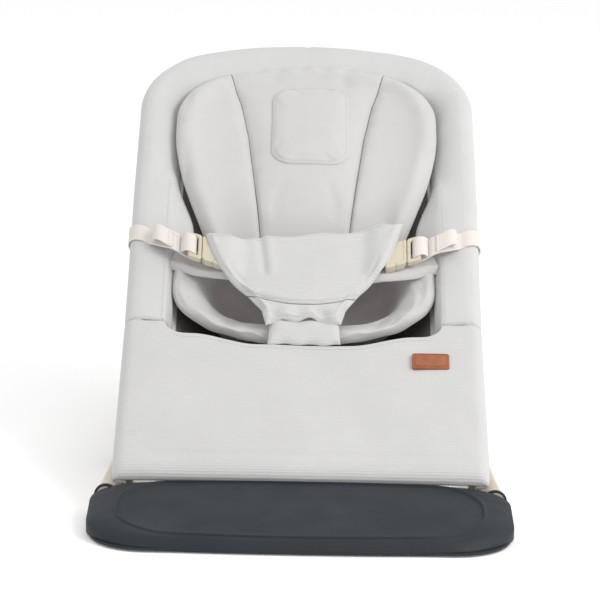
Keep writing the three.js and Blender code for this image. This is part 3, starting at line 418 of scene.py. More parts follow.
def moulded_finish(name, base, roughness, grain=900.0, depth=0.0001, coat=0.0):
    """Moulded plastic with a fine grain and slightly rubbed places."""
    made = Shader(name, base, roughness, Coat_Weight=coat, Coat_Roughness=0.25, Specular_IOR_Level=0.4)
    fine = made.noise(grain, 2.0)
    worn = made.noise(22, 4.0)
    painted = made.blend(made.span(worn, 0.35, 0.7), shade(base, 0.94), shade(base, 1.08))
    made.paint(painted).bump((fine, depth, 0.5), (worn, 0.0006, 0.12))
    made.rough(made.span(worn, 0.3, 0.75, roughness + 0.06, roughness - 0.06))
    return made.material


def coated_finish(name, base, metallic, roughness):
    """Satin powder coat on a metal tube, with a faint orange peel, rubbed places and a lighter tone on sharp convex
    edges.
    """
    made = Shader(name, base, roughness, Metallic=metallic, Coat_Weight=0.25, Coat_Roughness=0.3)
    peel = made.noise(700, 2.0)
    rubbed = made.noise(18, 4.0)
    point = made.node("NewGeometry").outputs["Pointiness"]
    painted = made.blend(made.span(rubbed, 0.35, 0.7), shade(base, 0.95), shade(base, 1.05))
    # Lighter on sharp convex edges, by pointiness.
    painted = made.blend(made.span(point, 0.52, 0.58), painted, shade(base, 1.15))
    made.paint(painted).bump((peel, 0.0001, 0.35), (rubbed, 0.0004, 0.08))
    made.rough(made.span(rubbed, 0.3, 0.7, roughness + 0.05, roughness - 0.04))
    return made.material


def leather_finish(name, base):
    made = Shader(name, base, 0.5, Coat_Weight=0.12, Coat_Roughness=0.4)
    grain = made.node("TexVoronoi", {"Vector": made.place(), "Scale": 900.0}, feature="DISTANCE_TO_EDGE").outputs[0]
    cloudy = made.noise(110, 4.0)
    painted = made.blend(made.span(cloudy, 0.3, 0.7), shade(base, 0.82), shade(base, 1.15))
    painted = made.blend(made.span(grain, 0.0, 0.08, 0.35, 0.0), painted, shade(base, 0.5))
    made.paint(painted).bump((grain, 0.0002, 0.5), (cloudy, 0.0004, 0.2))
    made.rough(made.span(cloudy, 0.3, 0.7, 0.58, 0.44))
    return made.material


def steel_finish(name, base):
    made = Shader(name, base, 0.3, Metallic=1.0)
    brushed = made.noise(300, 2.0, stretch=(1, 1, 12))
    made.paint(made.blend(made.span(brushed, 0.3, 0.7), shade(base, 0.85), shade(base, 1.1)))
    made.bump((brushed, 0.0001, 0.3)).rough(made.span(brushed, 0.3, 0.7, 0.36, 0.24))
    return made.material


def floor_finish(name, base):
    return Shader(name, base, 0.9, Specular_IOR_Level=0.1, Emission_Color=(1, 1, 1, 1), Emission_Strength=0.10).material


def finish(kind):
    """The material of one finish, made when it is first asked for."""
    name = "bouncer_" + kind
    if name in bpy.data.materials:
        return bpy.data.materials[name]
    colours = sizes("finishes")
    pitch = sizes("cover").rib_pitch
    makers = {
        "cover": lambda: cloth_finish(name, colours.cover, 0.0011),
        "ribbed": lambda: cloth_finish(name, colours.ribbed, 0.0011, ribs=0.3, rib_pitch=pitch),
        "insert": lambda: cloth_finish(name, colours.insert, 0.0009, sheen=0.3),
        # The sling's dark mesh, painted shade for the gaps beneath the insert.
        "shade_lining": lambda: mesh_finish(name, colours.shade_lining),
        # The seat pad's cloth, darker and warmer inside the hollow's oval: painted shade for its floor under the lap
        # panel.
        "hollow": lambda: cloth_finish(name, colours.insert, 0.0009, sheen=0.3, hollow=HOLLOW),
        # Near-black cloth for thin tubes that paint the shade in the grooves of the pad's seams and the lap panel's
        # fold.
        "seam": lambda: cloth_finish(name, shade(colours.insert, 0.30), 0.0009, sheen=0.0),
        "thread": lambda: cloth_finish(name, shade(colours.cover, 0.93), 0.0006, sheen=0.0),
        "webbing": lambda: webbing_finish(name, colours.webbing),
        "buckle": lambda: moulded_finish(name, colours.buckle, 0.42, 700.0, 0.00006, 0.1),
        "leather": lambda: leather_finish(name, colours.leather),
        "leather_edge": lambda: leather_finish(name, shade(colours.leather, 0.62)),
        "tube": lambda: coated_finish(name, colours.tube, 0.55, 0.38),
        "rod": lambda: coated_finish(name, shade(colours.tube, 0.96), 0.6, 0.34),
        "plate": lambda: moulded_finish(name, colours.plate, 0.62, 1100.0, 0.00008),
        "rubber": lambda: moulded_finish(name, colours.rubber, 0.85, 1400.0, 0.0002),
        "fitting": lambda: moulded_finish(name, colours.fitting, 0.5, 900.0, 0.0001),
        "steel": lambda: steel_finish(name, colours.steel),
        "floor": lambda: floor_finish(name, colours.floor),
    }
    return makers[kind]()


# ---- Mesh helpers ----


def in_scene(name, data):
    made = bpy.data.objects.new(name, data)
    bpy.context.scene.collection.objects.link(made)
    return made


def new_mesh(name, points, faces, kind, lie):
    """An object at the origin from points in metres, with a lie map in metres per point."""
    mesh = bpy.data.meshes.new(name)
    mesh.from_pydata([tuple(p) for p in np.asarray(points, float).reshape(-1, 3)], [], [tuple(f) for f in faces])
    mesh.materials.append(finish(kind))
    corner = np.zeros(len(mesh.loops), int)
    mesh.loops.foreach_get("vertex_index", corner)
    layer = mesh.uv_layers.new(name="lie")
    layer.data.foreach_set("uv", np.asarray(lie, np.float32).reshape(-1, 2)[corner].ravel())
    mesh.polygons.foreach_set("use_smooth", [True] * len(mesh.polygons))
    mesh.update()
    return in_scene(name, mesh)


def grid_faces(rows, columns, start=0, around=False):
    faces = []
    for r in range(rows - 1):
        for c in range(columns if around else columns - 1):
            d = (c + 1) % columns
            a = start + r * columns
            faces.append((a + c, a + d, a + columns + d, a + columns + c))
    return faces


def read_points(mesh):
    points = np.zeros(len(mesh.vertices) * 3)
    mesh.vertices.foreach_get("co", points)
    return points.reshape(-1, 3)


def write_points(mesh, points):
    mesh.vertices.foreach_set("co", np.asarray(points, float).ravel())
    mesh.update()


def freeze(piece):
    """Makes the piece's modifiers part of its mesh."""
    bpy.context.view_layer.update()
    mesh = bpy.data.meshes.new_from_object(piece.evaluated_get(bpy.context.evaluated_depsgraph_get()))
    piece.modifiers.clear()
    old, piece.data = piece.data, mesh
    mesh.name = piece.name
    if old.users == 0:
        bpy.data.meshes.remove(old)
    return piece


def tidy_normals(piece):
    """Merges doubles and turns all faces outwards."""
    work = bmesh.new()
    work.from_mesh(piece.data)
    bmesh.ops.remove_doubles(work, verts=work.verts, dist=0.01 * MM)
    bmesh.ops.recalc_face_normals(work, faces=work.faces)
    work.to_mesh(piece.data)
    work.free()
    return piece


def modified(piece, kind, **settings):
    """The piece with one modifier's work made part of its mesh."""
    made = piece.modifiers.new(kind, kind)
    for key, value in settings.items():
        setattr(made, key, value)
    return freeze(piece)


def thicken(piece, thickness):
    """Gives a sheet its cloth, half to each side."""
    modified(piece, "SOLIDIFY", thickness=thickness, offset=0, use_even_offset=False)
    return tidy_normals(piece)


def subdivide(piece):
    return modified(piece, "SUBSURF", levels=1, render_levels=1)


def smooth_by_angle(piece, degrees):
    piece.data.shade_smooth()
    piece.data.set_sharp_from_angle(angle=math.radians(degrees))
    return piece


def fitted(piece, body, slot, *nodes):
    """Rides the piece on its body and hides the nodes it stands for. The slot is not used."""
    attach(piece, body)
    if nodes:
        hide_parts(*nodes)
    return piece


def fold_plane():
    """Axis and anchor of a plane along the seat's slope, 14 mm above the middle of the line from 205 to 650 mm up it.
    """
    low, high = seat_points(0, 205, 0), seat_points(0, 650, 0)
    along = Vector(high - low).normalized()
    axis = Vector((0, -along.z, along.y))
    return tuple(axis), tuple(Vector((low + high) / 2) + axis * 14 * MM)


def folds(piece):
    """Gives the piece a mesh of its own, after working out the fold plane, which it does not use."""
    axis, anchor = fold_plane()
    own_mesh(piece)
    return piece


# ---- Padded pieces ----


def spread_evenly(count):
    """Places from -1 to 1 that lie closer together towards the ends."""
    u = np.linspace(-1, 1, count)
    crowding = (1 - 0.45) / 2
    return u * (1 + crowding - crowding * u * u)


def pad_places(rows, columns):
    """Places of a pad's grid: from -1 to 1 across and from 0 to 1 along."""
    return np.meshgrid(spread_evenly(columns), (spread_evenly(rows) + 1) / 2)


def pillow(name, kind, plan, low, high, rows, columns):
    """A closed pad and its edge points. plan(across, along) gives x and s, and low and high give n there."""
    across, along = pad_places(rows, columns)
    x, s = plan(across, along)
    bottom, top = low(x, s, across, along), high(x, s, across, along)
    edge = np.ones_like(x, bool)
    edge[1:-1, 1:-1] = False
    middle = (bottom + top) / 2
    top, bottom = np.where(edge, middle, top), np.where(edge, middle, bottom)
    upper = seat_points(x, s, top).reshape(-1, 3)
    lower = seat_points(x, s, bottom).reshape(-1, 3)
    index = np.arange(rows * columns)
    under = np.where(edge.ravel(), index, -1)
    inner = np.flatnonzero(~edge.ravel())
    under[inner] = rows * columns + np.arange(len(inner))
    points = np.vstack([upper, lower[inner]])
    faces = grid_faces(rows, columns)
    faces += [tuple(under[list(reversed(f))]) for f in grid_faces(rows, columns)]
    lie = np.stack([x, s], -1).reshape(-1, 2) * MM
    return new_mesh(name, points, faces, kind, np.vstack([lie, lie[inner]])), np.flatnonzero(edge.ravel())


STUFFING_FRAMES = 20


def stuffed(piece, sewn, reach):
    """Fills the pad by cloth simulation. sewn are the points that stay, and reach in millimetres caps the others."""
    start = read_points(piece.data)
    group = piece.vertex_groups.new(name="sewn")
    group.add([int(i) for i in sewn], 1.0, "ADD")
    stuffing = piece.modifiers.new("Stuffing", "CLOTH")
    cloth = stuffing.settings
    cloth.quality = 3
    cloth.mass = 0.15
    cloth.tension_stiffness = cloth.compression_stiffness = 8
    cloth.shear_stiffness = 4
    cloth.bending_stiffness = 0.4
    cloth.use_pressure = True
    cloth.uniform_pressure_force = sizes("insert").pressure
    cloth.effector_weights.gravity = 0
    cloth.vertex_group_mass = "sewn"
    stuffing.collision_settings.use_collision = False
    stuffing.collision_settings.use_self_collision = False
    stuffing.point_cache.frame_start, stuffing.point_cache.frame_end = 1, STUFFING_FRAMES
    scene = bpy.context.scene
    for number in range(1, STUFFING_FRAMES + 1):
        scene.frame_set(number)
    evaluated = piece.evaluated_get(bpy.context.evaluated_depsgraph_get())
    moved = read_points(evaluated.data) - start
    piece.modifiers.remove(stuffing)
    piece.vertex_groups.clear()
    scene.frame_set(1)
    length = np.linalg.norm(moved, axis=1, keepdims=True)
    capped = moved * np.minimum(1, reach * MM / np.maximum(length, 1e-9))
    capped *= reach * MM / np.sqrt((reach * MM) ** 2 + (capped**2).sum(1, keepdims=True)) * 1.2
    write_points(piece.data, start + capped)
    return piece


def creased(piece, height):
    """The pad made finer, with each point moved off the seat's surface by height(x, s, n), in millimetres."""
    subdivide(piece)
    x, s, n = seat_coords(read_points(piece.data))
    write_points(piece.data, seat_points(x, s, n + height(x, s, n)))
    return tidy_normals(piece)


def surface_of(piece):
    """A function that finds the height n of the piece's top surface at x, s, or None beside it."""
    mesh = piece.data
    tree = BVHTree.FromPolygons([v.co.copy() for v in mesh.vertices], [tuple(p.vertices) for p in mesh.polygons])
    above = 70.0

    def height(x, s):
        distance = tree.ray_cast(Vector(seat_points(x, s, above)), -seat_normal(s))[3]
        return None if distance is None else above - distance / MM

    return height


# ---- Geometry node builders ----


class Nodes:
    """A geometry node tree under construction, with named inputs."""

    def __init__(self, name, inputs):
        self.tree = bpy.data.node_groups.new(name, "GeometryNodeTree")
        face = self.tree.interface
        face.new_socket("Geometry", in_out="INPUT", socket_type="NodeSocketGeometry")
        for label, kind, value in inputs:
            made = face.new_socket(label, in_out="INPUT", socket_type="NodeSocket" + kind)
            if value is not None:
                made.default_value = value
        face.new_socket("Geometry", in_out="OUTPUT", socket_type="NodeSocketGeometry")
        self.entry = self.tree.nodes.new("NodeGroupInput")
        self.exit = self.tree.nodes.new("NodeGroupOutput")

    def add(self, kind, links=(), **settings):
        made = self.tree.nodes.new(kind)
        for key, value in settings.items():
            setattr(made, key, value)
        for key, value in dict(links).items():
            if isinstance(value, bpy.types.NodeSocket):
                self.tree.links.new(value, made.inputs[key])
            else:
                made.inputs[key].default_value = value
        return made

    def given(self, label):
        return self.entry.outputs[label]

    def finish(self, geometry):
        """Ends the tree in Realize Instances and Set Material."""
        real = self.add("GeometryNodeRealizeInstances", {"Geometry": geometry})
        shaded = self.add("GeometryNodeSetShadeSmooth", {"Geometry": real.outputs[0], "Shade Smooth": True})
        inputs = {"Geometry": shaded.outputs[0], "Material": self.given("Material")}
        painted = self.add("GeometryNodeSetMaterial", inputs)
        self.tree.links.new(painted.outputs[0], self.exit.inputs[0])
        return self.tree


def grown(name, source, tree, **inputs):
    """The plain mesh that a node tree makes from a source object, which is removed."""
    made = source.modifiers.new("Nodes", "NODES")
    made.node_group = tree
    labels = {i.name: i.identifier for i in tree.interface.items_tree if i.in_out == "INPUT"}
    for key, value in inputs.items():
        made[labels[key]] = value
    bpy.context.view_layer.update()
    mesh = bpy.data.meshes.new_from_object(source.evaluated_get(bpy.context.evaluated_depsgraph_get()))
    source.modifiers.remove(made)
    bpy.data.objects.remove(source)
    mesh.name = name
    return in_scene(name, mesh)


def path_object(*paths):
    """A curve object of open poly lines through points in metres."""
    curve = bpy.data.curves.new("path", "CURVE")
    curve.dimensions = "3D"
    for path in paths:
        line = curve.splines.new("POLY")
        line.points.add(len(path) - 1)
        line.points.foreach_set("co", np.hstack([np.asarray(path, float), np.ones((len(path), 1))]).ravel())
    return in_scene("path", curve)


def tube_tree():
    """Sweeps a round tube with closed ends along a path."""
    name = "Tube along path"
    if name in bpy.data.node_groups:
        return bpy.data.node_groups[name]
    nodes = Nodes(name, [("Radius", "Float", 0.01), ("Sides", "Int", 40), ("Material", "Material", None)])
    ring = nodes.add(
        "GeometryNodeCurvePrimitiveCircle", {"Resolution": nodes.given("Sides"), "Radius": nodes.given("Radius")}
    )
    tube = nodes.add(
        "GeometryNodeCurveToMesh",
        {"Curve": nodes.given("Geometry"), "Profile Curve": ring.outputs[0], "Fill Caps": True},
    )
    return nodes.finish(tube.outputs[0])


def stitch_tree():
    """Lays a short round stitch at every pitch along each path."""
    name = "Stitches along path"
    if name in bpy.data.node_groups:
        return bpy.data.node_groups[name]
    lengths = {"Pitch": 0.0036, "Stitch": 0.0022, "Thickness": 0.0006}
    nodes = Nodes(name, [*((key, "Float", value) for key, value in lengths.items()), ("Material", "Material", None)])
    spaced = nodes.add(
        "GeometryNodeCurveToPoints", {"Curve": nodes.given("Geometry"), "Length": nodes.given("Pitch")}, mode="LENGTH"
    )
    capsule = nodes.add("GeometryNodeMeshUVSphere", {"Segments": 6, "Rings": 4, "Radius": 0.5})
    shape = nodes.add(
        "ShaderNodeCombineXYZ",
        {"X": nodes.given("Thickness"), "Y": nodes.given("Thickness"), "Z": nodes.given("Stitch")},
    )
    turned = nodes.add("FunctionNodeAlignEulerToVector", {"Vector": spaced.outputs["Tangent"]}, axis="Z")
    laid = nodes.add(
        "GeometryNodeInstanceOnPoints",
        {
            "Points": spaced.outputs["Points"],
            "Instance": capsule.outputs["Mesh"],
            "Rotation": turned.outputs[0],
            "Scale": shape.outputs[0],
        },
    )
    return nodes.finish(laid.outputs[0])


def swept_tube(name, path, radius, kind="tube", sides=None):
    inputs = {"Radius": radius, "Sides": sides or sizes("base").sides, "Material": finish(kind)}
    return tidy_normals(smooth_by_angle(grown(name, path_object(path), tube_tree(), **inputs), 50))


def stitches(name, paths, kind="thread", length=None, pitch=None, thickness=0.0007):
    cover = sizes("cover")
    inputs = {"Pitch": pitch or cover.stitch_pitch, "Stitch": length or cover.stitch}
    return grown(name, path_object(*paths), stitch_tree(), **inputs, Thickness=thickness, Material=finish(kind))


def laid_path(height, line, lift=0.2):
    """Points in metres of a line of (x, s) laid on a surface that height(x, s) gives."""
    heights = [(x, s, height(x, s)) for x, s in line]
    return [seat_points(x, s, n + lift) for x, s, n in heights if n is not None]


def along_line(line, step=3.0):
    """(x, s) places every step along a broken line."""
    places = []
    for (x0, s0), (x1, s1) in zip(line, line[1:]):
        count = max(1, int(math.hypot(x1 - x0, s1 - s0) / step))
        places += [(mix(x0, x1, i / count), mix(s0, s1, i / count)) for i in range(count)]
    return places + [line[-1]]


# ---- Stage, light and camera ----


def area_light(name, place, target, side, watts, tint=(1, 1, 1)):
    data = bpy.data.lights.new(name, "AREA")
    data.shape = "DISK"
    data.size = side
    data.energy = watts
    data.color = tint
    lamp = in_scene(name, data)
    lamp.location = place
    lamp.rotation_euler = (Vector(target) - Vector(place)).to_track_quat("-Z", "Y").to_euler()


CAMERA_AT = (-0.004, -3.191, 0.853)
CAMERA_TILT, CAMERA_ROLL = 78, 1  # degrees
CAMERA_LENS = 178.2


def build_stage():
    """A white floor and sky with a key light from the right, and the camera."""
    scene = bpy.context.scene
    half = 9.0  # metres from the middle of the floor to its edge
    mesh = bpy.data.meshes.new("studio_floor")
    mesh.from_pydata([(-half, -half, 0), (half, -half, 0), (half, half, 0), (-half, half, 0)], [], [(0, 1, 2, 3)])
    mesh.materials.append(finish("floor"))
    floor = in_scene("studio_floor", mesh)
    world = bpy.data.worlds.new("studio")
    world.use_nodes = True
    sky = world.node_tree.nodes["Background"].inputs
    sky["Color"].default_value = (1, 1, 1, 1)
    sky["Strength"].default_value = 0.90
    scene.world = world
    scene.view_settings.view_transform = "Standard"
    area_light("key", (2.1, -1.1, 1.9), (0, 0, 0.2), 1.6, 44, (1, 0.985, 0.965))
    area_light("fill", (-2.2, -1.8, 1.2), (0, 0, 0.2), 1.8, 3, (0.97, 0.985, 1))
    area_light("top", (0, 0.5, 2.6), (0, 0.1, 0.2), 2.2, 5)
    data = bpy.data.cameras.new("view")
    data.lens = CAMERA_LENS
    data.sensor_width = 36
    camera = in_scene("view", data)
    turn = Matrix.Rotation(math.radians(CAMERA_TILT), 4, "X") @ Matrix.Rotation(math.radians(CAMERA_ROLL), 4, "Z")
    camera.matrix_world = Matrix.Translation(CAMERA_AT) @ turn
    scene.camera = camera


# ---- Cover and sling ----

SEAM_AT = 232.0  # how far up the slope the front panel meets the border
INSERT_HALF_WIDTH = 152
WRAP = np.radians(np.linspace(-100, 90, 17))


def wrap_radius():
    return TUBE_RADIUS + 1.15 + mm(sizes("cover").cloth) / 2


def front_edge(x):
    """How far up the slope the front panel reaches at x."""
    a = np.abs(x)
    corner = 22 - np.sqrt(np.maximum(22**2 - np.clip(a - 130, 0, 22) ** 2, 0))
    return 194 + 16 * smooth(a, 50, 120) + corner


def build_front_cover():
    """The ribbed front panel, from the hem under the front bar to the edge of the leg opening."""
    radius, reach = wrap_radius(), mm(sizes("cover").hem)
    corner = INSERT_HALF_WIDTH - np.array([0, 0.3, 0.9, 1.9, 3.4, 5.6, 8.5, 12, 16.5, 22, 29])
    right = np.concatenate([np.linspace(182, 154, 8), corner])
    flat = np.concatenate([right[1:], np.linspace(120, -120, 60), -right[:0:-1]])
    ring_x, ring_n = HOOP_HALF_WIDTH + radius * np.cos(WRAP), radius * np.sin(WRAP)
    x = np.concatenate([ring_x, flat, -ring_x[::-1]])
    n = np.concatenate([ring_n, np.full(len(flat), radius), ring_n[::-1]])
    wraps = np.abs(x) > HOOP_HALF_WIDTH - 0.001
    wraps[: len(WRAP)] = wraps[-len(WRAP) :] = True
    outward = np.where(wraps, np.abs(x) - HOOP_HALF_WIDTH, 0)
    edge = np.where(wraps | (np.abs(x) >= INSERT_HALF_WIDTH), SEAM_AT, front_edge(x))
    rows = []
    drop = 6.2 + reach

    def drawn_in(share):
        return np.where(wraps, np.sign(x) * (HOOP_HALF_WIDTH + outward * share), x)

    for back, down in ((6.5, 3.4), (3.4, 3.2), (1.0, 2.2), (0.0, 0.9)):  # the hem's edge, folded under
        rows.append((drawn_in(0.9), np.full_like(x, back - drop), n * 0.16 - down))
    for t in np.radians(np.linspace(90, 0, 13)[:-1]):  # the front of the hem
        flatter = 1 - 0.84 * (1 - math.cos(t)) ** 1.15
        rows.append((drawn_in(1 - 0.1 * math.sin(t)), np.full_like(x, 6 - (6 + drop) * math.sin(t)), n * flatter))
    for share in np.linspace(0, 1, 84):
        s = mix(6.0, edge, share)
        hollow = 3.2 * (1 - np.clip(np.abs(x) / 172, 0, 1) ** 2) * smooth(s, 8, 70)
        crease = 1.4 * bell(s, 13, 5) * (1 - smooth(np.abs(x), 150, 176))
        seam = 0.9 * bell(s, SEAM_AT, 2.2) * np.where(np.abs(x) > 150, 1, 0)
        pulled = x - np.sign(x) * np.where(wraps, seam * np.cos(0.6), 0)
        rows.append((pulled, s, n - np.where(wraps, 0, hollow + crease + seam)))
    tail = np.where(edge < SEAM_AT - 0.5, 1, 0)
    s_last, n_last = rows[-1][1], rows[-1][2]
    for fs, fn in ((1.4, 0.9), (1.9, 2.4), (0.9, 4.2), (-1.4, 5.0), (-6, 5.2)):
        rows.append((x, s_last + fs * tail, n_last - fn * tail))
    gx, gs, gn = (np.array([row[i] for row in rows]) for i in range(3))
    points = seat_points(gx, gs, gn)
    soft = wander(points, 55, 1) * 0.9 + wander(points, 22, 2) * 0.35
    inner = (1 - smooth(np.abs(gx), 160, 178)) * 0.8 + 0.35
    slant = np.sin((gs * 0.9 + np.abs(gx) * 1.1) / 11 + 2 * wander(points, 80, 3)) * bell(np.abs(gx), 170, 14) * 0.35
    gn = gn + (soft * inner + slant) * smooth(gs, -4, 18)
    round_tube = HOOP_HALF_WIDTH + radius * (np.pi / 2 - WRAP)
    lie_x = np.concatenate([round_tube, flat, -round_tube[::-1]])
    length = np.cumsum(np.vstack([np.zeros_like(x), np.hypot(np.diff(gs, axis=0), np.diff(gn, axis=0))]), axis=0)
    length += (edge - length[-6])[None]
    piece = new_mesh(
        "front_cover",
        seat_points(gx, gs, gn),
        grid_faces(*gx.shape),
        "ribbed",
        np.stack([np.broadcast_to(lie_x, gx.shape), length], -1) * MM,
    )
    thicken(piece, sizes("cover").cloth)
    fitted(piece, "seat", "ribbed_fabric", "front_panel", "hem_channel")
    height = surface_of(piece)
    lines = [laid_path(height, along_line([(side * 153, 229.4), (side * 181, 229.4)])) for side in (-1, 1)]
    places = [(x_at, front_edge(x_at) - 5) for x_at in np.linspace(-140, 140, 90)]
    lines.append(laid_path(height, places))
    fitted(stitches("front_stitches", lines), "seat", "ribbed_fabric")


def border_profile(q):
    """Places across the border at q: distance out from the tube's centreline, and height."""
    s = hoop_plan(q)[1]
    radius = wrap_radius()
    across = mm(sizes("cover").border) + 7 * float(smooth(s, 600, 662))
    low = mix(9.0, -2.0, float(smooth(s, 425, 490)))
    low = mix(low, 8.0, float(smooth(s, 622, 672)))
    inward = 7 + 19 * float(smooth(s, 318, 365) * (1 - smooth(s, 380, 465)))
    flange = np.linspace(0, 1, 15)[1:]
    wall = np.linspace(0, 1, 8)[1:]
    d = np.concatenate([radius * np.cos(WRAP), -across * flange, -across - inward * wall**0.85])
    lift = 2.4 * float(smooth(s, 610, 690))
    crest = radius + lift + 0.4
    over = radius * np.sin(WRAP) + lift * (WRAP > 0) * np.sin(np.abs(WRAP))
    return d, np.concatenate([over, crest - (crest - low) * flange**1.8, low - (low + 8.5) * wall])


def build_border_cover():
    """The plain border that wraps the side tubes and the top of the hoop, ending in an inner wall."""
    stops = np.linspace(SEAM_AT, 2 * HALF_HOOP - SEAM_AT, 330)
    grid = []
    for q in stops:  # pinched at both ends and at the seam in the middle
        x, s, out_x, out_s = hoop_plan(q)
        d, n = border_profile(q)
        near = min(q - SEAM_AT, 2 * HALF_HOOP - SEAM_AT - q)
        pinch = 0.9 * math.exp(-((near / 2.2) ** 2)) + 1.0 * math.exp(-(((q - HALF_HOOP) / 2.4) ** 2))
        d = np.where(np.arange(len(d)) < len(WRAP), d - pinch * (d > 0), d)
        grid.append(np.stack([x + out_x * d, s + out_s * d, n - pinch * 0.8 * (n > 2)], -1))
    grid = np.array(grid)
    points = seat_points(*np.moveaxis(grid, -1, 0))
    along = stops[:, None]
    soft = wander(points, 48, 4) * 0.7 + wander(points, 20, 5) * 0.3
    pucker = np.sin(along / 9.5 + 2.5 * wander(points, 90, 6)) * 0.45
    index = np.arange(grid.shape[1])[None]
    inner_edge = bell(index, len(WRAP) + 14, 5)
    outer = bell(index, 8, 5) * smooth(grid[..., 1], 520, 620)
    grid[..., 2] += (soft + pucker * (inner_edge + outer)) * smooth(index, 2, 8)
    mesh_points = seat_points(*np.moveaxis(grid, -1, 0))
    steps = np.linalg.norm(np.diff(mesh_points, axis=1), axis=2).mean(0)
    round_tube = np.concatenate([[0], np.cumsum(steps)])
    lie = np.stack([np.broadcast_to(v, grid.shape[:2]) for v in (round_tube, along * MM)], -1)
    piece = new_mesh("border_cover", mesh_points, grid_faces(*grid.shape[:2]), "cover", lie)
    thicken(piece, sizes("cover").cloth)
    fitted(piece, "seat", "cover_fabric", "cover_border_right", "cover_border_left")
    height = surface_of(piece)
    inward = HOOP_HALF_WIDTH - mm(sizes("cover").border) + 3
    paths = []
    for side in (-1, 1):
        paths.append(laid_path(height, [(side * inward, s) for s in np.linspace(SEAM_AT + 6, 445, 90)]))
        paths.append(laid_path(height, along_line([(side * 154, 235), (side * 184, 235)])))
    fitted(stitches("border_stitches", paths), "seat", "cover_fabric")


SLING_START, SLING_END = 196, 655  # the sling's reach up the slope


def build_sling():
    """The sheet under the insert: dark mesh above as painted shade for the gaps, cover cloth below and at its sides."""
    rows, columns = 96, 56
    piece, _ = pillow(
        "sling",
        "shade_lining",
        lambda a, r: (a * 149, mix(SLING_START, SLING_END, r) + 0 * a),
        lambda x, s, a, r: insert_floor(x, s) - 10.6 + 5 * smooth(s, 600, SLING_END),
        lambda x, s, a, r: insert_floor(x, s) - 8.2 + 5 * smooth(s, 600, SLING_END),
        rows,
        columns,
    )
    mesh = piece.data
    mesh.materials.append(finish("cover"))
    upper = (rows - 1) * (columns - 1)
    # Painted shade: the top faces in the middle keep the dark mesh, while the underside and the sides take cover cloth.
    cover = [int(number >= upper or abs(face.center.x) > 0.139) for number, face in enumerate(mesh.polygons)]
    mesh.polygons.foreach_set("material_index", cover)
    tidy_normals(subdivide(piece))
    folds(fitted(piece, "seat", "cover_fabric", "back_sling"))


# ---- Padded insert ----


PAD_START, PAD_END = 342, 650  # the back pad's reach up the slope
PAD_ROLL = 13.0  # how wide its edge curves over


def pad_half_width(s):
    full = INSERT_HALF_WIDTH * (0.645 + 0.355 * np.sin(np.pi / 2 * np.clip((s - PAD_START) / 203, 0, 1)))
    return rounded(full, s, 560, 669, 2.4)


def top_edge(x, s):
    """0 well inside the back pad and 1 at its rounded top edge."""
    near = (np.clip(s - 556, 0, 200) / 113) ** 2.4 + np.clip(np.abs(x) / INSERT_HALF_WIDTH, 0, 1) ** 2.4
    return smooth(near, 0.5, 1.0) * smooth(s, 545, 620)


def pad_seam(s):
    line = np.interp(s, (342, 408, 465, 540, 600, 650), (46, 52.5, 59, 67, 77, 91))
    return np.minimum(line, pad_half_width(s) - 7)


def pad_climb(x, s):
    """How much further up the slope the pad's rows lie near its middle."""
    return 20 * (1 - np.clip(np.abs(x) / 100, 0, 1) ** 2) * smooth(s, 500, PAD_END)


def seam_spread(count):
    """Places from -1 to 1, closer together near the seams at a half and near the ends."""
    u = np.linspace(0, 1, count)
    right = np.where(u < 0.5, 0.5 * np.sin(np.pi * u), 0.5 + 0.5 * (1 - np.cos(np.pi * (2 * u - 1))) / 2)
    return np.concatenate([-right[:0:-1], right])


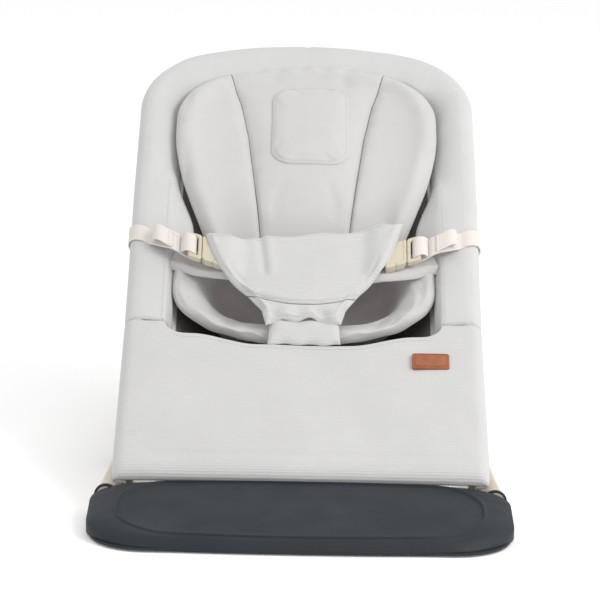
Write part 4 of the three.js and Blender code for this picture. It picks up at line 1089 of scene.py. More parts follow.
def build_back_pad():
    """The back pad in three upholstered panels, sewn to the border at the top."""
    thick = mm(sizes("insert").pad)
    across_line = seam_spread(33)
    rows, columns = 92, len(across_line)

    def plan(_, r):
        a = np.broadcast_to(across_line, r.shape)
        nominal = mix(PAD_START, PAD_END, r)
        width, seam = pad_half_width(nominal), pad_seam(nominal)
        side_panel = np.sign(a) * (seam + (width - seam) * (2 * np.abs(a) - 1))
        x = np.where(np.abs(a) < 0.5, 2 * a * seam, side_panel)
        return x, nominal + pad_climb(x, nominal)

    def low(x, s, a, r):
        on_border = 6 * smooth(np.abs(x), 135, INSERT_HALF_WIDTH) * smooth(s, 430, 480)
        return mix(insert_floor(x, s) + on_border, 9.0, top_edge(x, s))

    def high(x, s, a, r):
        a = np.abs(np.broadcast_to(across_line, r.shape))
        nominal = mix(PAD_START, PAD_END, r)
        width, seam = pad_half_width(nominal), pad_seam(nominal)
        side = np.clip((np.abs(x) - seam) / np.maximum(width - seam, 1), 0, 1)
        to_ends = np.minimum(nominal - 341, (PAD_END - nominal) * 0.9 + 0.2)
        to_edge = np.minimum((width - np.abs(x)) * 0.92, to_ends)
        body = thick + 3.4 * (1 - np.clip(x / seam, -1, 1) ** 2) - np.where(a > 0.5, 3.2 * np.sin(np.pi * side), 0)
        body += 3.4 * bell(width - np.abs(x), 13, 8) * smooth(nominal, 350, 380)
        groove = 4.2 * bell(np.abs(x), seam, 1.7) + 1.8 * bell(np.abs(x), seam, 7)
        body -= groove * smooth(nominal, 344, 356) * (1 - 0.5 * smooth(nominal, 620, 648))
        body *= mix(1, 0.42, top_edge(x, s))
        return low(x, s, a, r) + body * np.sqrt(np.clip(to_edge / PAD_ROLL, 0.012, 1))

    piece, edge = pillow("back_pad_soft", "insert", plan, low, high, rows, columns)
    seam_columns = [int(np.argmin(np.abs(across_line - v))) for v in (-0.5, 0.5)]
    sewn = list(edge) + [row * columns + c for row in range(rows) for c in seam_columns]
    stuffed(piece, sewn, mm(sizes("insert").swell) * 0.45)

    def creases(x, s, n):
        p = seat_points(x, s, n)
        top = n > insert_floor(x, s) + 6
        gathers = np.sin(x / 4.2 + 0.7 * np.sin(s / 15)) * 1.1 * smooth(s, 648, 664) * (1 - smooth(np.abs(x), 60, 84))
        dimple = -2.4 * bell(x, 44, 9) * bell(s, 643, 11) - 1.6 * bell(x, -38, 8) * bell(s, 648, 10)
        soft = wander(p, 70, 7) * 1.5 + wander(p, 26, 8) * 0.45
        near = np.sin(s / 6.5 + 3 * wander(p, 60, 9)) * 0.55 * bell(np.abs(x), pad_seam(s), 11)
        edge = np.sin(s / 7.5) * 0.5 * bell(np.abs(x), pad_half_width(s), 16)
        return np.where(top, gathers + dimple + soft + near + edge, 0)

    creased(piece, creases)
    folds(fitted(piece, "seat", "insert_fabric", "back_pad"))
    height = surface_of(piece)
    rows = np.linspace(350, 648, 130)
    climbed = rows + pad_climb(pad_seam(rows), rows)

    def seam_line(side, off):
        return laid_path(height, [(side * (a + off), b) for a, b in zip(pad_seam(rows), climbed)], -0.1)

    for side in (-1, 1):
        # A thin dark tube in the seam's groove, painted shade for the groove.
        seam = swept_tube("pad_seam_shade_line_" + str(side + 1), seam_line(side, 0), 0.55 * MM, "seam", 6)
        folds(fitted(seam, "seat", "insert_fabric"))
    sewing = stitches("back_pad_stitches", [seam_line(side, 3.2) for side in (-1, 1)], thickness=0.0005)
    folds(fitted(sewing, "seat", "insert_fabric"))


def build_head_pad():
    """The small padded panel sewn over the middle of the back pad."""
    height = surface_of(bpy.data.objects["back_pad_soft"])
    start, end, half, corner, middle = 484.0, 630.0, 46.0, 26.0, 5.0

    def width(s):
        near = np.minimum(np.minimum(s - start, end - s), corner)
        return half - corner + np.sqrt(np.maximum(corner**2 - (corner - near) ** 2, 0))

    def plan(a, r):
        s = mix(start, end, r)
        return middle + a * width(s), s + 0 * a

    rows, columns = 60, 40
    px, ps = plan(*pad_places(rows, columns))
    base = np.array([[height(a, b) for a, b in zip(u, v)] for u, v in zip(px, ps)], float)

    def low(x, s, a, r):
        return base - 1.6

    def high(x, s, a, r):
        to_edge = np.minimum(width(s) - np.abs(x - middle), np.minimum(s - start, end - s))
        return base + 0.2 + 4.2 * rise(to_edge, 8) - 1.1 * bell(to_edge, 4.2, 1.2)

    piece, edge = pillow("head_pad", "insert", plan, low, high, rows, columns)
    stuffed(piece, edge, 2.0)
    creased(piece, lambda x, s, n: wander(seat_points(x, s, n), 30, 10) * 0.5)
    folds(fitted(piece, "seat", "insert_fabric", "head_panel"))
    top = surface_of(piece)
    inset, far = 4.5, 200
    wide, tall, bend = half - inset, (end - start) / 2 - inset, corner - inset
    line = []
    for turn in np.linspace(0, 2 * math.pi, 161):  # a rounded rectangle of stitches
        cx, cs = math.cos(turn), math.sin(turn)
        x = math.copysign(min(wide, abs(cx) * far), cx)
        s = math.copysign(min(tall, abs(cs) * far), cs)
        over = Vector((max(0, abs(x) - (wide - bend)), max(0, abs(s) - (tall - bend))))
        if over.length > bend:
            over *= bend / over.length
            x, s = math.copysign(wide - bend + over.x, x), math.copysign(tall - bend + over.y, s)
        line.append((middle + x, (start + end) / 2 + s))
    folds(fitted(stitches("head_pad_stitches", [laid_path(top, along_line(line, 2))]), "seat", "insert_fabric"))


BUCKET_START, BUCKET_END = 212, 352
BUCKET_HALF_WIDTH = 146.0


def bucket_half_width(s):
    """Full from 290 up, and rounded off towards the front."""
    return rounded(BUCKET_HALF_WIDTH, 580 - s, 290, 580 - 210.5, 1.95) if s < 290 else BUCKET_HALF_WIDTH


def build_bucket():
    """The padded hollow that the baby sits in."""
    thick = mm(sizes("insert").bucket)
    widths = np.vectorize(bucket_half_width)

    def plan(a, r):
        s = mix(BUCKET_START, BUCKET_END, r)
        return a * widths(s), s + 0 * a

    def rim(x, s):
        """Distance to the rim, and how far the padding has dropped there."""
        to_edge = np.minimum((widths(s) - np.abs(x)) * 0.95, s - 211.6)
        return to_edge, 22 * np.clip((to_edge - 7) / 34, 0, 1) ** 1.1

    def low(x, s, a, r):
        under = -4.5 - rim(x, s)[1]
        return np.maximum(insert_floor(x, s) + 0.5, mix(-90, under, smooth(hollow(x, s), 0.9, 1.12)))

    def high(x, s, a, r):
        to_edge, drop = rim(x, s)
        plain = insert_floor(x, s) + 0.5 + thick
        ramp = 7.5 - drop - 2 * smooth(to_edge, 30, 60)
        lifted = mix(plain, np.maximum(plain, ramp), smooth(hollow(x, s), 0.80, 1.06))
        return mix(low(x, s, a, r), lifted, rise(to_edge, 8)) - 6 * smooth(s, 335, 350)

    def hollow(x, s):
        return np.sqrt((x / HOLLOW[0]) ** 2 + ((s - HOLLOW[1]) / HOLLOW[2]) ** 2)

    # The seat pad's cloth carries painted shade on its floor, inside the hollow's oval.
    piece, edge = pillow("bucket_pad", "hollow", plan, low, high, 60, 96)
    stuffed(piece, edge, 3.0)

    def creases(x, s, n):
        p = seat_points(x, s, n)
        rays = np.sin(np.arctan2(s - 275, x * 0.8) * 17 + 2 * wander(p, 50, 12))
        walls = rays * 0.9 * smooth(np.hypot(x, s - 275), 50, 110)
        return wander(p, 60, 11) * 1.6 + walls * (n > insert_floor(x, s) + 4)

    creased(piece, creases)
    folds(fitted(piece, "seat", "insert_fabric", "seat_bucket"))


def build_wings():
    """The two padded wings that run from the buckles to the lap panel."""
    thick = mm(sizes("insert").wing)
    for side, label in SIDES:
        def plan(a, r):
            cx, cs = mix(147, 58, r), mix(336, 306, r) - 4 * np.sin(np.pi * r)
            half = mix(19, 18, r) - 2.5 * bell(r, 0.16, 0.10)
            return side * (cx - a * half * 0.30), cs + a * half * 0.95

        def low(x, s, a, r):
            return 12.0 * np.clip(r * 1.4, 0, 1) + 0 * x

        def high(x, s, a, r):
            pleat = 0.8 * np.sin(a * 7 + r * 3) * (1 - r)
            body = thick + 2.2 * bell(np.abs(a), 0.7, 0.2) + pleat
            return low(x, s, a, r) + body * rise((1 - np.abs(a)) * 15, 8)

        piece, edge = pillow("wing_" + label, "insert", plan, low, high, 44, 24)
        stuffed(piece, edge, 2.5)
        creased(piece, lambda x, s, n: wander(seat_points(x, s, n), 24, 13 + side) * 0.8)
        fitted(piece, "seat", "insert_fabric", "hip_wing_" + label)


LAP_START, LAP_END = 219, 353
CROTCH_START, CROTCH_END = 196, 231


def lap_half_width(s):
    return np.interp(s, (219, 242, 263, 284, 302, 326, 354), (41, 46, 61, 81, 94, 103, 111))


def lap_base(x, s):
    """Height of the lap panel's middle, raised where it lies over the wings."""
    over = 9.4 * smooth(np.abs(x), 62, 88) * smooth(s, 270, 300)
    gathered = (2.0 - 1.6 * np.sin(x / 6.5 + 1)) * (1 - smooth(s, 222, 246))
    return 20.4 + over - gathered + 2.0 * bell(x, 0, 60) * smooth(s, 300, 350)


def build_lap_panel():
    """The lap panel, wide over the belly and gathered into the crotch piece, with a curved sewn fold."""
    thick = mm(sizes("insert").lap)

    def plan(a, r):
        s = mix(LAP_START, LAP_END, r)
        x = a * lap_half_width(s)
        foot = (9 - 8 * np.clip(x / 40, -1, 1) ** 2 + 2.0 * np.sin(x / 5.5)) * (1 - smooth(r, 0.0, 0.18))
        slanted = (x * 0.085 + 5.0 * np.clip(x / 100, 0, 1) + 2.0) * r
        return x, s + foot + slanted + 1.6 * np.sin(x / 9.5) * smooth(r, 0.9, 1.0)

    def seam_at(x):
        return 249 + 32 * np.clip(np.abs(x) / 88, 0, 1.2) ** 2.1

    def low(x, s, a, r):
        return lap_base(x, s) - thick / 2 + 0.4

    def high(x, s, a, r):
        to_ends = np.minimum(r, 1 - r) * (LAP_END - LAP_START) + 0.1
        to_edge = np.minimum((1 - np.abs(a)) * lap_half_width(s) * 0.95, to_ends)
        body = thick + 1.6 * bell(to_edge, 6, 3.5)
        body += 2.0 * bell(s, seam_at(x) + 5, 5) - 2.6 * bell(s, seam_at(x) - 1, 1.8)
        body += 1.8 * bell(s, seam_at(x) - 9, 6)
        return low(x, s, a, r) + body * rise(to_edge, 6)

    piece, edge = pillow("lap_pad", "ribbed", plan, low, high, 84, 72)
    stuffed(piece, edge, 2.0)

    def creases(x, s, n):
        p = seat_points(x, s, n)
        below = (1 - smooth(s, seam_at(x) - 8, seam_at(x) + 2)) * smooth(s, 217, 224)
        gather = np.sin(x / 4.4 + 1.3 * wander(p, 40, 15)) * 2.0 * below * (1 - smooth(s, 232, 250))
        width = lap_half_width(s)
        crescent = np.sin((s - seam_at(x)) / 5.2 + 1.5 * wander(p, 36, 16)) * 1.6 * below
        crescent = crescent * (1 - smooth(np.abs(x), 0.55 * width, 0.9 * width))
        slant, upper = x + 0.12 * (s - 300), smooth(s, 285, 300)
        fold = -2.4 * bell(slant, -44, 4.5) * upper + 1.6 * bell(slant, -36, 6) * upper
        return gather + crescent + fold + wander(p, 45, 17) * 1.6 + wander(p, 18, 18) * 0.4

    creased(piece, creases)
    fitted(piece, "seat", "ribbed_fabric", "lap_panel")
    height = surface_of(piece)
    fold_line = laid_path(height, [(x, seam_at(x) - 1.0) for x in np.linspace(-80, 80, 90)], 0.0)
    # A thin dark tube along the fold, painted shade for its groove.
    fitted(swept_tube("lap_fold_shade_line", fold_line, 0.5 * MM, "seam", 6), "seat", "ribbed_fabric")
    lines = [
        [(x, seam_at(x) + 3.0) for x in np.linspace(-82, 82, 80)],
        [(x, 354.5 + 0.085 * x + 5 * max(0.0, x / 100) - 6) for x in np.linspace(-102, 102, 90)],
    ]
    sides = [(s, lap_half_width(s) - 5, 4 * smooth(s, 262, 346)) for s in np.linspace(262, 344, 40)]
    lines += [[(side * x, s + side * lift) for s, x, lift in sides] for side in (-1, 1)]
    fitted(stitches("lap_stitches", [laid_path(height, line) for line in lines]), "seat", "ribbed_fabric")


def build_crotch():
    """The short piece that holds the lap panel to the edge of the opening."""

    def plan(a, r):
        s = mix(CROTCH_START, CROTCH_END, r)
        return a * mix(40, 38, r) + 1, s + 1.2 * np.sin(a * 9) * (1 - r)

    def low(x, s, a, r):
        return mix(9.5, 13.0, r) + 0 * x

    def high(x, s, a, r):
        to_edge = np.minimum((1 - np.abs(a)) * 41, np.minimum(r, 1 - r) * (CROTCH_END - CROTCH_START))
        return low(x, s, a, r) + 5.5 * rise(to_edge, 5)

    piece, edge = pillow("crotch_pad", "ribbed", plan, low, high, 26, 40)
    stuffed(piece, edge, 1.5)

    def creases(x, s, n):
        return np.sin(x / 5.3) * 1.2 * smooth(s, 208, 226) + wander(seat_points(x, s, n), 25, 20) * 0.7

    creased(piece, creases)
    fitted(piece, "seat", "ribbed_fabric", "crotch_strap")


# ---- Harness ----

BUCKLE_TILT = math.radians(22)
BUCKLE_AT = (109.0, 326.5, 23.4)  # x, s and n of the middle of the right buckle


def strap_line(x):
    """How far up the slope the middle of the right strap lies at x."""
    return BUCKLE_AT[1] + (x - BUCKLE_AT[0]) * math.tan(BUCKLE_TILT)


def buckle_points(side, out, across, up):
    """Points from buckle places: out along the strap, across it, and up off the seat, in millimetres."""
    base = Vector(seat_points(*BUCKLE_AT)) / MM
    slope = slope_at(BUCKLE_AT[1])
    climb = Vector((0, math.cos(slope), math.sin(slope)))
    normal = seat_normal(BUCKLE_AT[1])
    out_axis = Vector((1, 0, 0)) * math.cos(BUCKLE_TILT) + climb * math.sin(BUCKLE_TILT)
    flat = np.stack(np.broadcast_arrays(out, across, up), -1).reshape(-1, 3)
    points = np.array(base) + flat @ np.array([out_axis, climb / math.cos(BUCKLE_TILT), normal])
    points[:, 0] *= side
    return points * MM


def round_outline(low, high, radius, steps=6):
    """Corner-rounded rectangle around (low, high), anticlockwise."""
    (x0, y0), (x1, y1) = low, high
    places = []
    for cx, cy, start in ((x1, y1, 0), (x0, y1, 90), (x0, y0, 180), (x1, y0, 270)):
        mx = cx - math.copysign(radius, cx - (x0 + x1) / 2)
        my = cy - math.copysign(radius, cy - (y0 + y1) / 2)
        for step in range(steps + 1):
            t = math.radians(start + 90 * step / steps)
            places.append((mx + radius * math.cos(t), my + radius * math.sin(t)))
    return places


def loft(loops, closed_ends=True):
    """Points and faces through loops with the same count, capped by fans at both ends."""
    count = len(loops[0])
    points = [p for loop in loops for p in loop]
    faces = grid_faces(len(loops), count, around=True)
    if closed_ends:
        faces.append(tuple(reversed(range(count))))
        faces.append(tuple((len(loops) - 1) * count + i for i in range(count)))
    return points, faces


def shrunk(outline, by):
    """The outline drawn in by a distance towards its middle, keeping its corners round."""
    middle = np.mean(outline, axis=0)
    spread = np.ptp(np.asarray(outline), axis=0) / 2
    return [tuple(middle + (np.asarray(p) - middle) * (1 - by / spread)) for p in outline]


def slab(outline, low, high, edge, steps=4):
    """Points and faces of a slab with rounded edges, in (a, b, height)."""
    loops = []
    turns = [math.radians(90 * step / steps) for step in range(steps + 1)]
    for t in turns:
        lifted = low + edge * (1 - math.cos(t))
        loops.append([(a, b, lifted) for a, b in shrunk(outline, edge * (1 - math.sin(t)))])
    for t in turns:
        lifted = high - edge * (1 - math.sin(t))
        loops.append([(a, b, lifted) for a, b in shrunk(outline, edge * (1 - math.cos(t)))])
    return loft(loops)


def block(low, high, radius, heights, edge, steps=6):
    """A slab over the rounded rectangle from low to high."""
    return slab(round_outline(low, high, radius, steps), *heights, edge)


def joined(name, kind, parts, place):
    """One mesh from (points, faces) parts, each point put through place."""
    points, faces = [], []
    for part_points, part_faces in parts:
        start = len(points)
        points += list(part_points)
        faces += [tuple(i + start for i in f) for f in part_faces]
    flat = np.asarray(points, float)
    made = new_mesh(name, place(flat), faces, kind, flat[:, :2] * MM)
    tidy_normals(made)
    return smooth_by_angle(made, 38)


def ring_part(outer, inner, low, high, edge):
    """Points and faces of a flat ring with softly bevelled edges."""
    loops = []
    rim = ((edge, low), (0, low + edge), (0, high - edge), (edge, high))
    for inset, n in rim:
        loops.append([(a, b, n) for a, b in shrunk(outer, inset)])
    for inset, n in reversed(rim):
        loops.append([(a, b, n) for a, b in shrunk(inner, -inset)])
    points, faces = loft(loops, closed_ends=False)
    count, last = len(outer), 7 * len(outer)
    faces += [(last + i, last + (i + 1) % count, (i + 1) % count, i) for i in range(count)]
    return points, faces


def build_buckles():
    """The sockets on the seat and the tongues that slide out of them."""
    half = mm(sizes("harness").buckle) / 2
    for side, label in SIDES:
        def place(flat):
            return buckle_points(side, flat[:, 0], flat[:, 1], flat[:, 2])

        body = block((-22, -half), (3.6, half), 5, (-4.5, 4.5), 2.0)
        rails = [
            block((a, -half - 0.6), (b, -half + 3.4), 0.8, (-3.8, 5.3), 0.7) for a, b in ((-20, -9), (-8, 2.2))
        ]
        lip = block((0.2, -half + 1.4), (4.4, half - 1.4), 1.6, (-3.7, 5.0), 1.1)
        socket = joined("buckle_socket_soft_" + label, "buckle", [body, lip, *rails], place)
        fitted(socket, "seat", "buckle", "buckle_socket_" + label)
        window = round_outline((9.5, -half + 4.4), (16, half - 4.4), 1.5)
        frame_part = ring_part(round_outline((4.9, -half), (22, half), 3.6), window, -3.6, 4.2, 1.1)
        prongs = [block((-8, y - 2.6), (7, y + 2.6), 1.6, (-1.8, 1.8), 0.7) for y in (-10.5, 10.5)]
        rail = block((16.2, -half + 3), (21.2, half - 3), 1.5, (3.2, 5.0), 0.9)
        tongue = joined("buckle_tongue_soft_" + label, "buckle", [frame_part, rail, *prongs], place)
        fitted(tongue, "tongue_" + label, "buckle", "buckle_tongue_" + label)


def ribbon(path, side, half, bow=0.0):
    """A band of webbing along a path of (x, n), sheared up the slope as the buckle is."""
    line = np.asarray(path, float)
    gaps = np.concatenate([[0], np.cumsum(np.hypot(*np.diff(line, axis=0).T))])
    fine = np.linspace(0, gaps[-1], max(8, int(gaps[-1] / 1.4)))
    x, n = np.interp(fine, gaps, line[:, 0]), np.interp(fine, gaps, line[:, 1])
    for _ in range(6):
        x[1:-1] = (x[:-2] + 2 * x[1:-1] + x[2:]) / 4
        n[1:-1] = (n[:-2] + 2 * n[1:-1] + n[2:]) / 4
    columns = 9
    gx, u = np.meshgrid(x, np.linspace(-1, 1, columns), indexing="ij")
    gn = np.repeat(n[:, None], columns, 1) - bow * u**2
    far = smooth(gx, 156, 182)
    gs = strap_line(gx) + 4 * far + u * half / math.cos(BUCKLE_TILT) * (1 - 0.16 * far)
    lie = np.stack([u * half * MM, np.repeat(fine[:, None], columns, 1) * MM], -1).reshape(-1, 2)
    return seat_points(side * gx, gs, gn).reshape(-1, 3), grid_faces(*gx.shape), lie


def webbing_piece(name, side, paths):
    """One piece of webbing from ribbons of (path, half width, bow)."""
    points, faces, lies = [], [], []
    for path, half, bow in paths:
        p, f, lie = ribbon(path, side, half, bow)
        faces += [tuple(i + len(points) for i in face) for face in f]
        points += list(p)
        lies += list(lie)
    piece = new_mesh(name, points, faces, "webbing", lies)
    return smooth_by_angle(thicken(piece, sizes("harness").webbing_thickness), 50)


STRAP_RUN = [(168, 18.4), (158, 22.6), (148, 24.2), (140.5, 22.2)]  # x and n along each piece of webbing
STRAP_TAIL = [(147, 25.6), (153, 26.6), (158, 28.8), (163, 29.4), (167.5, 27.2), (169, 23.6)]
STRAP_LOOP = [
    (141.5, 22.8), (135, 19.2), (127, 17.8), (121.6, 19), (119.6, 23),
    (121.4, 28.2), (126, 30.2), (131.5, 29.6), (134.5, 26.2), (136.5, 23.4),
]
STRAP_SEAM = (142, 151)  # the x of the sewn box's ends


def build_straps():
    """The short webbing straps, looped through the tongues and round the side tubes."""
    half = mm(sizes("harness").webbing) / 2
    slope = slope_at(BUCKLE_AT[1])
    for side, label in SIDES:
        around_bar = webbing_piece("strap_loop_" + label, side, [(STRAP_LOOP, half, 0.4)])
        fitted(around_bar, "tongue_" + label, "webbing")
        runs = [(STRAP_RUN, half, 0.2), (STRAP_TAIL, half - 1.5, 0.2)]
        piece = webbing_piece("strap_soft_" + label, side, runs)
        anchor = tuple(Vector(seat_points(side * 168, 350, 18)))
        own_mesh(piece)
        fitted(piece, "seat", "webbing", "strap_" + label)
        turns = np.radians(np.linspace(118, -100, 30))
        wrap = [(163, 20.4), (168.5, 17.6)] + [(182 + 15.4 * math.cos(t), 15.4 * math.sin(t)) for t in turns]
        around = webbing_piece("strap_wrap_" + label, side, [(wrap, half, 0.0)])
        fitted(around, "seat", "webbing")
        top = surface_of(piece)
        box = [[(side * x, strap_line(x) + v) for v in np.linspace(-9, 9, 12)] for x in STRAP_SEAM]
        box += [[(side * x, strap_line(x) + v) for x in np.linspace(*STRAP_SEAM, 8)] for v in (-9, 9)]
        paths = [laid_path(top, line, 0.15) for line in box]
        sewn = stitches("strap_stitches_" + label, paths, kind="webbing", thickness=0.0008)
        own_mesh(sewn)
        fitted(sewn, "seat", "webbing")


TAG_AT = (137.5, 167.0)  # x and s of the tag's middle


def build_tag():
    """The plain leather tag, sewn down round its border."""
    harness = sizes("harness")
    wide, tall = mm(harness.tag_width) / 2, mm(harness.tag_height) / 2
    height = surface_of(bpy.data.objects["front_cover"])
    top = max(height(TAG_AT[0] + a * wide, TAG_AT[1] + b * tall) for a in (-1, 0, 1) for b in (-1, 0, 1))

    def place(flat):
        return seat_points(TAG_AT[0] + flat[:, 0], TAG_AT[1] + flat[:, 1], top + flat[:, 2])

    body = block((-wide, -tall), (wide, tall), 3.2, (-1.2, 1.9), 0.6)
    panel = block((-wide + 3.8, -tall + 3.8), (wide - 3.8, tall - 3.8), 1.6, (1.5, 2.25), 0.3)
    fitted(joined("tag_leather", "leather", [body, panel], place), "seat", "leather", "leather_tag")
    outline = round_outline((-wide + 2.3, -tall + 2.3), (wide - 2.3, tall - 2.3), 1.6)
    places = along_line(outline + outline[:1], 1.5)
    line = [tuple(seat_points(TAG_AT[0] + a, TAG_AT[1] + b, top + 2.0)) for a, b in places]
    sewn = stitches("tag_stitches", [line], kind="leather_edge", length=0.0018, pitch=0.0027, thickness=0.0006)
    fitted(sewn, "seat", "leather")


# ---- Plate, tubes and fittings ----


def plate_outline(half, front, rear, front_radius, rear_radius, bow):
    """A rounded outline bowed out at the front: x and y back from the plate's front edge."""
    places = []
    corners = (
        (half, rear, rear_radius, 0),
        (-half, rear, rear_radius, 90),
        (-half, front, front_radius, 180),
        (half, front, front_radius, 270),
    )
    for side_x, y, radius, start in corners:
        mx = side_x - math.copysign(radius, side_x)
        my = y - radius if start < 180 else y + radius
        for step in range(17):
            t = math.radians(start + 90 * step / 16)
            places.append((mx + radius * math.cos(t), my + radius * math.sin(t)))
        if start in (0, 180):  # along the straight edges
            end = -places[-1][0]
            places += [(mix(-end, end, share), y) for share in np.linspace(0, 1, 26)[1:-1]]
    places = np.array(places)
    places[:, 1] += bow * (places[:, 0] / half) ** 2 * (1 - smooth(places[:, 1], front, mix(front, rear, 0.7)))
    return places


def plate_top(x, y):
    """Height of the plate's top, falling towards the front and a little towards both ends."""
    ends = 4.5 * np.clip(np.abs(x) / 195, 0, 1.1) ** 3
    return 13.0 + 25.0 * np.clip(y / 145, 0, 1) ** 0.9 - ends * smooth(y, 20, 120)


def build_plate():
    """The moulded front plate: a rounded wedge with a shallow panel let into its top."""
    base = sizes("base")
    sunk = mm(base.recess)
    outer = plate_outline(half=215, front=0, rear=142, front_radius=66, rear_radius=25, bow=9)
    panel = plate_outline(half=184, front=13, rear=137, front_radius=56, rear_radius=48, bow=9)
    loops = []

    def loop(outline, z):
        loops.append([(x, y, float(h)) for (x, y), h in zip(outline, np.broadcast_to(z, len(outline)))])

    def drawn(share):
        """The outline a share of the way from the plate's edge to the panel's."""
        return outer + (panel - outer) * share

    x, y = outer.T
    at_ends = smooth(np.abs(x), 170, 212)
    fall = mix(mix(9.5, 8.0, at_ends), 2.5, smooth(y, 108, 136) * (1 - 0.6 * at_ends))
    for share, z in ((0.16, 1.2), (0.06, 1.8), (0.0, 3.6)):  # the underside and the foot of the wall
        loop(drawn(share), z)
    loop(outer, np.maximum((plate_top(x, y) - fall) * 0.55, 5.0))
    for share in (0.0, 0.02, 0.06, 0.12, 0.2, 0.3, 0.42, 0.55, 0.68, 0.8, 0.88):  # the rounded shoulder
        lift = fall * (1 - share / 0.95) ** 2.8
        loop(drawn(share), np.maximum(plate_top(*drawn(share).T) - lift, 6.0 + 2 * share))
    for share, lift in ((0.90, 0.9), (0.94, 1.5), (0.97, 1.3), (1.0, 0.2), (1.025, -sunk * 0.8), (1.06, -sunk)):
        loop(drawn(share), plate_top(*drawn(share).T) + lift)  # the ridge and the step down to the panel
    rim, middle = drawn(1.06), panel.mean(0)
    for share in (0.15, 0.35, 0.6, 0.8, 0.93):
        outline = rim + (middle - rim) * share
        loop(outline, plate_top(*outline.T) - sunk)
    points, faces = loft(loops)
    flat = np.asarray(points, float) + [0, FRONT_EDGE, 0]
    piece = new_mesh("plate_moulding", flat * MM, faces, "plate", flat[:, :2] * MM)
    tidy_normals(piece)
    smooth_by_angle(piece, 60)
    fitted(piece, "root", "plate", "plate_shell")
    for side, label in SIDES:
        start, out = base_path(side)[:2]
        collar = swept_tube("collar_" + label, [start, start.lerp(out, 0.25)], 12.6 * MM, "plate", 40)
        modified(collar, "BEVEL", width=1.6 * MM, segments=4, limit_method="ANGLE", angle_limit=math.radians(30))
        fitted(collar, "root", "plate")


BASE_HALF_WIDTH = 176.0  # of the base tube's rear, to the tube's centre
BASE_HEIGHT = 13.5
BASE_REAR = 655.0  # back from the plate's front edge
BASE_CORNER = 85.0


def base_path(side):
    """Centre of one base tube from inside the plate to where the rear bend starts."""
    places = ((200.0, 138, 19.2), (198.2, 158, 18.7), (BASE_HALF_WIDTH, 560, BASE_HEIGHT))
    return [Vector((side * x, FRONT_EDGE + y, z)) * MM for x, y, z in places]


def build_tubes():
    """The base's tube, the hoop, the front bar and the cross tube."""
    base = sizes("base")
    first, _, last = base_path(1)
    right = [mix(first, last, i / 20) for i in range(21)]
    middle_x, middle_y = BASE_HALF_WIDTH - BASE_CORNER, FRONT_EDGE + BASE_REAR - BASE_CORNER
    for step in range(13):
        t = math.radians(90 * step / 12)
        across, back = BASE_CORNER * math.cos(t), BASE_CORNER * math.sin(t)
        right.append(Vector((middle_x + across, middle_y + back, BASE_HEIGHT)) * MM)
    left = [Vector((-p.x, p.y, p.z)) for p in reversed(right)]
    low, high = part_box("base_rear_tube")
    shift = (low.z + high.z) / 2 - BASE_HEIGHT * MM
    path = [p + Vector((0, 0, shift * smooth(p.y, 0.1, 0.2))) for p in right + left]
    tube = swept_tube("base_tube", path, base.tube)
    fitted(tube, "root", "frame_tube", "base_tube_right", "base_tube_left", "base_rear_tube")
    far_side = 2 * HALF_HOOP - SIDE_LENGTH
    over_top = np.linspace(SIDE_LENGTH, far_side, 90)[1:-1]
    stops = np.concatenate([np.linspace(0, SIDE_LENGTH, 90), over_top, np.linspace(far_side, 2 * HALF_HOOP, 90)])
    hoop = swept_tube("hoop", [seat_points(*hoop_plan(q)[:2], 0) for q in stops], base.tube)
    fitted(hoop, "seat", "frame_tube", "hoop_side_tube_right", "hoop_side_tube_left", "hoop_top_tube")
    for node, body in (("hem_bar", "seat"), ("cross_tube", "root")):
        low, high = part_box(node)
        y, z = (low.y + high.y) / 2, (low.z + high.z) / 2
        bar = swept_tube(node + "_round", [(low.x, y, z), (high.x, y, z)], (high.z - low.z) / 2)
        fitted(bar, body, "frame_tube", node)


FITTINGS = {  # the finish of the nodes whose names start so
    "plate_cover": "plate", "plate_screw": "steel", "plate_pad": "rubber", "tube_clamp": "fitting",
    "rear_foot": "rubber", "recline_bracket": "fitting", "pivot_lug": "tube", "stand_bush": "fitting",
    "stand_leg": "rod", "foot_bar": "rod", "stand_grip": "rubber", "base_": "tube", "hoop_": "tube",
    "hem_bar": "tube", "cross_tube": "tube", "buckle": "buckle", "strap": "webbing", "leather": "leather",
    "plate_shell": "plate",
}


def build_fittings():
    """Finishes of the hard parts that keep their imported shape."""
    for name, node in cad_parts.items():
        start = max((key for key in FITTINGS if name.startswith(key)), key=len, default=None)
        node.data.materials.clear()
        node.data.materials.append(finish(FITTINGS.get(start, "cover")))


# ---- Operators and panel ----


class BOUNCER_OT_stage(bpy.types.Operator):
    """Adds the floor, lights and camera"""

    bl_idname = "bouncer.stage"
    bl_label = "Stage"

    def execute(self, context):
        build_stage()
        return {"FINISHED"}


class BOUNCER_OT_fittings(bpy.types.Operator):
    """Gives the hard parts their finishes"""

    bl_idname = "bouncer.fittings"
    bl_label = "Fittings"

    def execute(self, context):
        build_fittings()
        return {"FINISHED"}


class BOUNCER_OT_tubes(bpy.types.Operator):
    """Sweeps the base tube, hoop and bars"""

    bl_idname = "bouncer.tubes"
    bl_label = "Tubes"

    def execute(self, context):
        build_tubes()
        return {"FINISHED"}


class BOUNCER_OT_plate(bpy.types.Operator):
    """Builds the moulded front plate"""

    bl_idname = "bouncer.plate"
    bl_label = "Plate"

    def execute(self, context):
        build_plate()
        return {"FINISHED"}


class BOUNCER_OT_front_cover(bpy.types.Operator):
    """Sews the ribbed front panel"""

    bl_idname = "bouncer.front_cover"
    bl_label = "Front cover"

    def execute(self, context):
        build_front_cover()
        return {"FINISHED"}


class BOUNCER_OT_border_cover(bpy.types.Operator):
    """Sews the border round the hoop"""

    bl_idname = "bouncer.border_cover"
    bl_label = "Border"

    def execute(self, context):
        build_border_cover()
        return {"FINISHED"}


class BOUNCER_OT_sling(bpy.types.Operator):
    """Hangs the sling"""

    bl_idname = "bouncer.sling"
    bl_label = "Sling"

    def execute(self, context):
        build_sling()
        return {"FINISHED"}


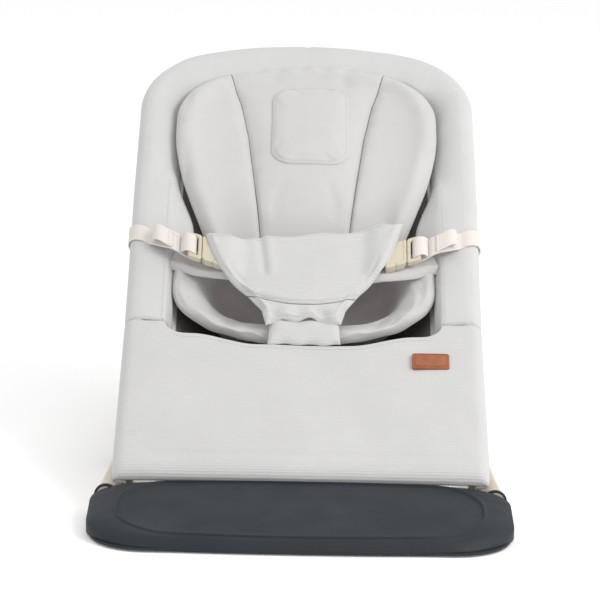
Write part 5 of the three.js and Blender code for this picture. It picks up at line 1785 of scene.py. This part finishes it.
class BOUNCER_OT_bucket(bpy.types.Operator):
    """Fills the padded hollow"""

    bl_idname = "bouncer.bucket"
    bl_label = "Seat hollow"

    def execute(self, context):
        build_bucket()
        return {"FINISHED"}


class BOUNCER_OT_back_pad(bpy.types.Operator):
    """Fills the back pad"""

    bl_idname = "bouncer.back_pad"
    bl_label = "Back pad"

    def execute(self, context):
        build_back_pad()
        return {"FINISHED"}


class BOUNCER_OT_head_pad(bpy.types.Operator):
    """Sews the head pad on the back pad"""

    bl_idname = "bouncer.head_pad"
    bl_label = "Head pad"

    def execute(self, context):
        build_head_pad()
        return {"FINISHED"}


class BOUNCER_OT_wings(bpy.types.Operator):
    """Fills the two hip wings"""

    bl_idname = "bouncer.wings"
    bl_label = "Hip wings"

    def execute(self, context):
        build_wings()
        return {"FINISHED"}


class BOUNCER_OT_lap_panel(bpy.types.Operator):
    """Fills the lap panel"""

    bl_idname = "bouncer.lap_panel"
    bl_label = "Lap panel"

    def execute(self, context):
        build_lap_panel()
        return {"FINISHED"}


class BOUNCER_OT_crotch(bpy.types.Operator):
    """Fills the crotch piece"""

    bl_idname = "bouncer.crotch"
    bl_label = "Crotch piece"

    def execute(self, context):
        build_crotch()
        return {"FINISHED"}


class BOUNCER_OT_buckles(bpy.types.Operator):
    """Moulds the sockets and tongues"""

    bl_idname = "bouncer.buckles"
    bl_label = "Buckles"

    def execute(self, context):
        build_buckles()
        return {"FINISHED"}


class BOUNCER_OT_straps(bpy.types.Operator):
    """Threads the webbing straps"""

    bl_idname = "bouncer.straps"
    bl_label = "Straps"

    def execute(self, context):
        build_straps()
        return {"FINISHED"}


class BOUNCER_OT_tag(bpy.types.Operator):
    """Sews on the leather tag"""

    bl_idname = "bouncer.tag"
    bl_label = "Tag"

    def execute(self, context):
        build_tag()
        return {"FINISHED"}


OPERATORS = [
    BOUNCER_OT_stage,
    BOUNCER_OT_fittings,
    BOUNCER_OT_tubes,
    BOUNCER_OT_plate,
    BOUNCER_OT_front_cover,
    BOUNCER_OT_border_cover,
    BOUNCER_OT_sling,
    BOUNCER_OT_bucket,
    BOUNCER_OT_back_pad,
    BOUNCER_OT_head_pad,
    BOUNCER_OT_wings,
    BOUNCER_OT_lap_panel,
    BOUNCER_OT_crotch,
    BOUNCER_OT_buckles,
    BOUNCER_OT_straps,
    BOUNCER_OT_tag,
]


class BOUNCER_PT_panel(bpy.types.Panel):
    """Sizes, colours and builders of the bouncer seat"""

    bl_idname = "BOUNCER_PT_panel"
    bl_label = "Bouncer Seat"
    bl_space_type = "VIEW_3D"
    bl_region_type = "UI"
    bl_category = "Bouncer"

    def draw(self, context):
        for name, group in GROUPS.items():
            box = self.layout.box()
            box.label(text=group.__name__)
            for key in group.__annotations__:
                box.prop(getattr(context.scene, "bouncer_" + name), key)
        for made in OPERATORS:
            self.layout.operator(made.bl_idname)


GROUPS = {
    "cover": CoverSizes,
    "insert": InsertSizes,
    "harness": HarnessSizes,
    "base": BaseSizes,
    "finishes": Finishes,
}


def register():
    for group in (*GROUPS.values(), *OPERATORS, BOUNCER_PT_panel):
        bpy.utils.register_class(group)
    for name, group in GROUPS.items():
        setattr(bpy.types.Scene, "bouncer_" + name, PointerProperty(type=group))


def unregister():
    for name in GROUPS:
        delattr(bpy.types.Scene, "bouncer_" + name)
    for group in reversed((*GROUPS.values(), *OPERATORS, BOUNCER_PT_panel)):
        bpy.utils.unregister_class(group)


def main():
    register()
    for made in OPERATORS:
        getattr(bpy.ops.bouncer, made.bl_idname.split(".")[1])()


if __name__ == "__main__":
    main()
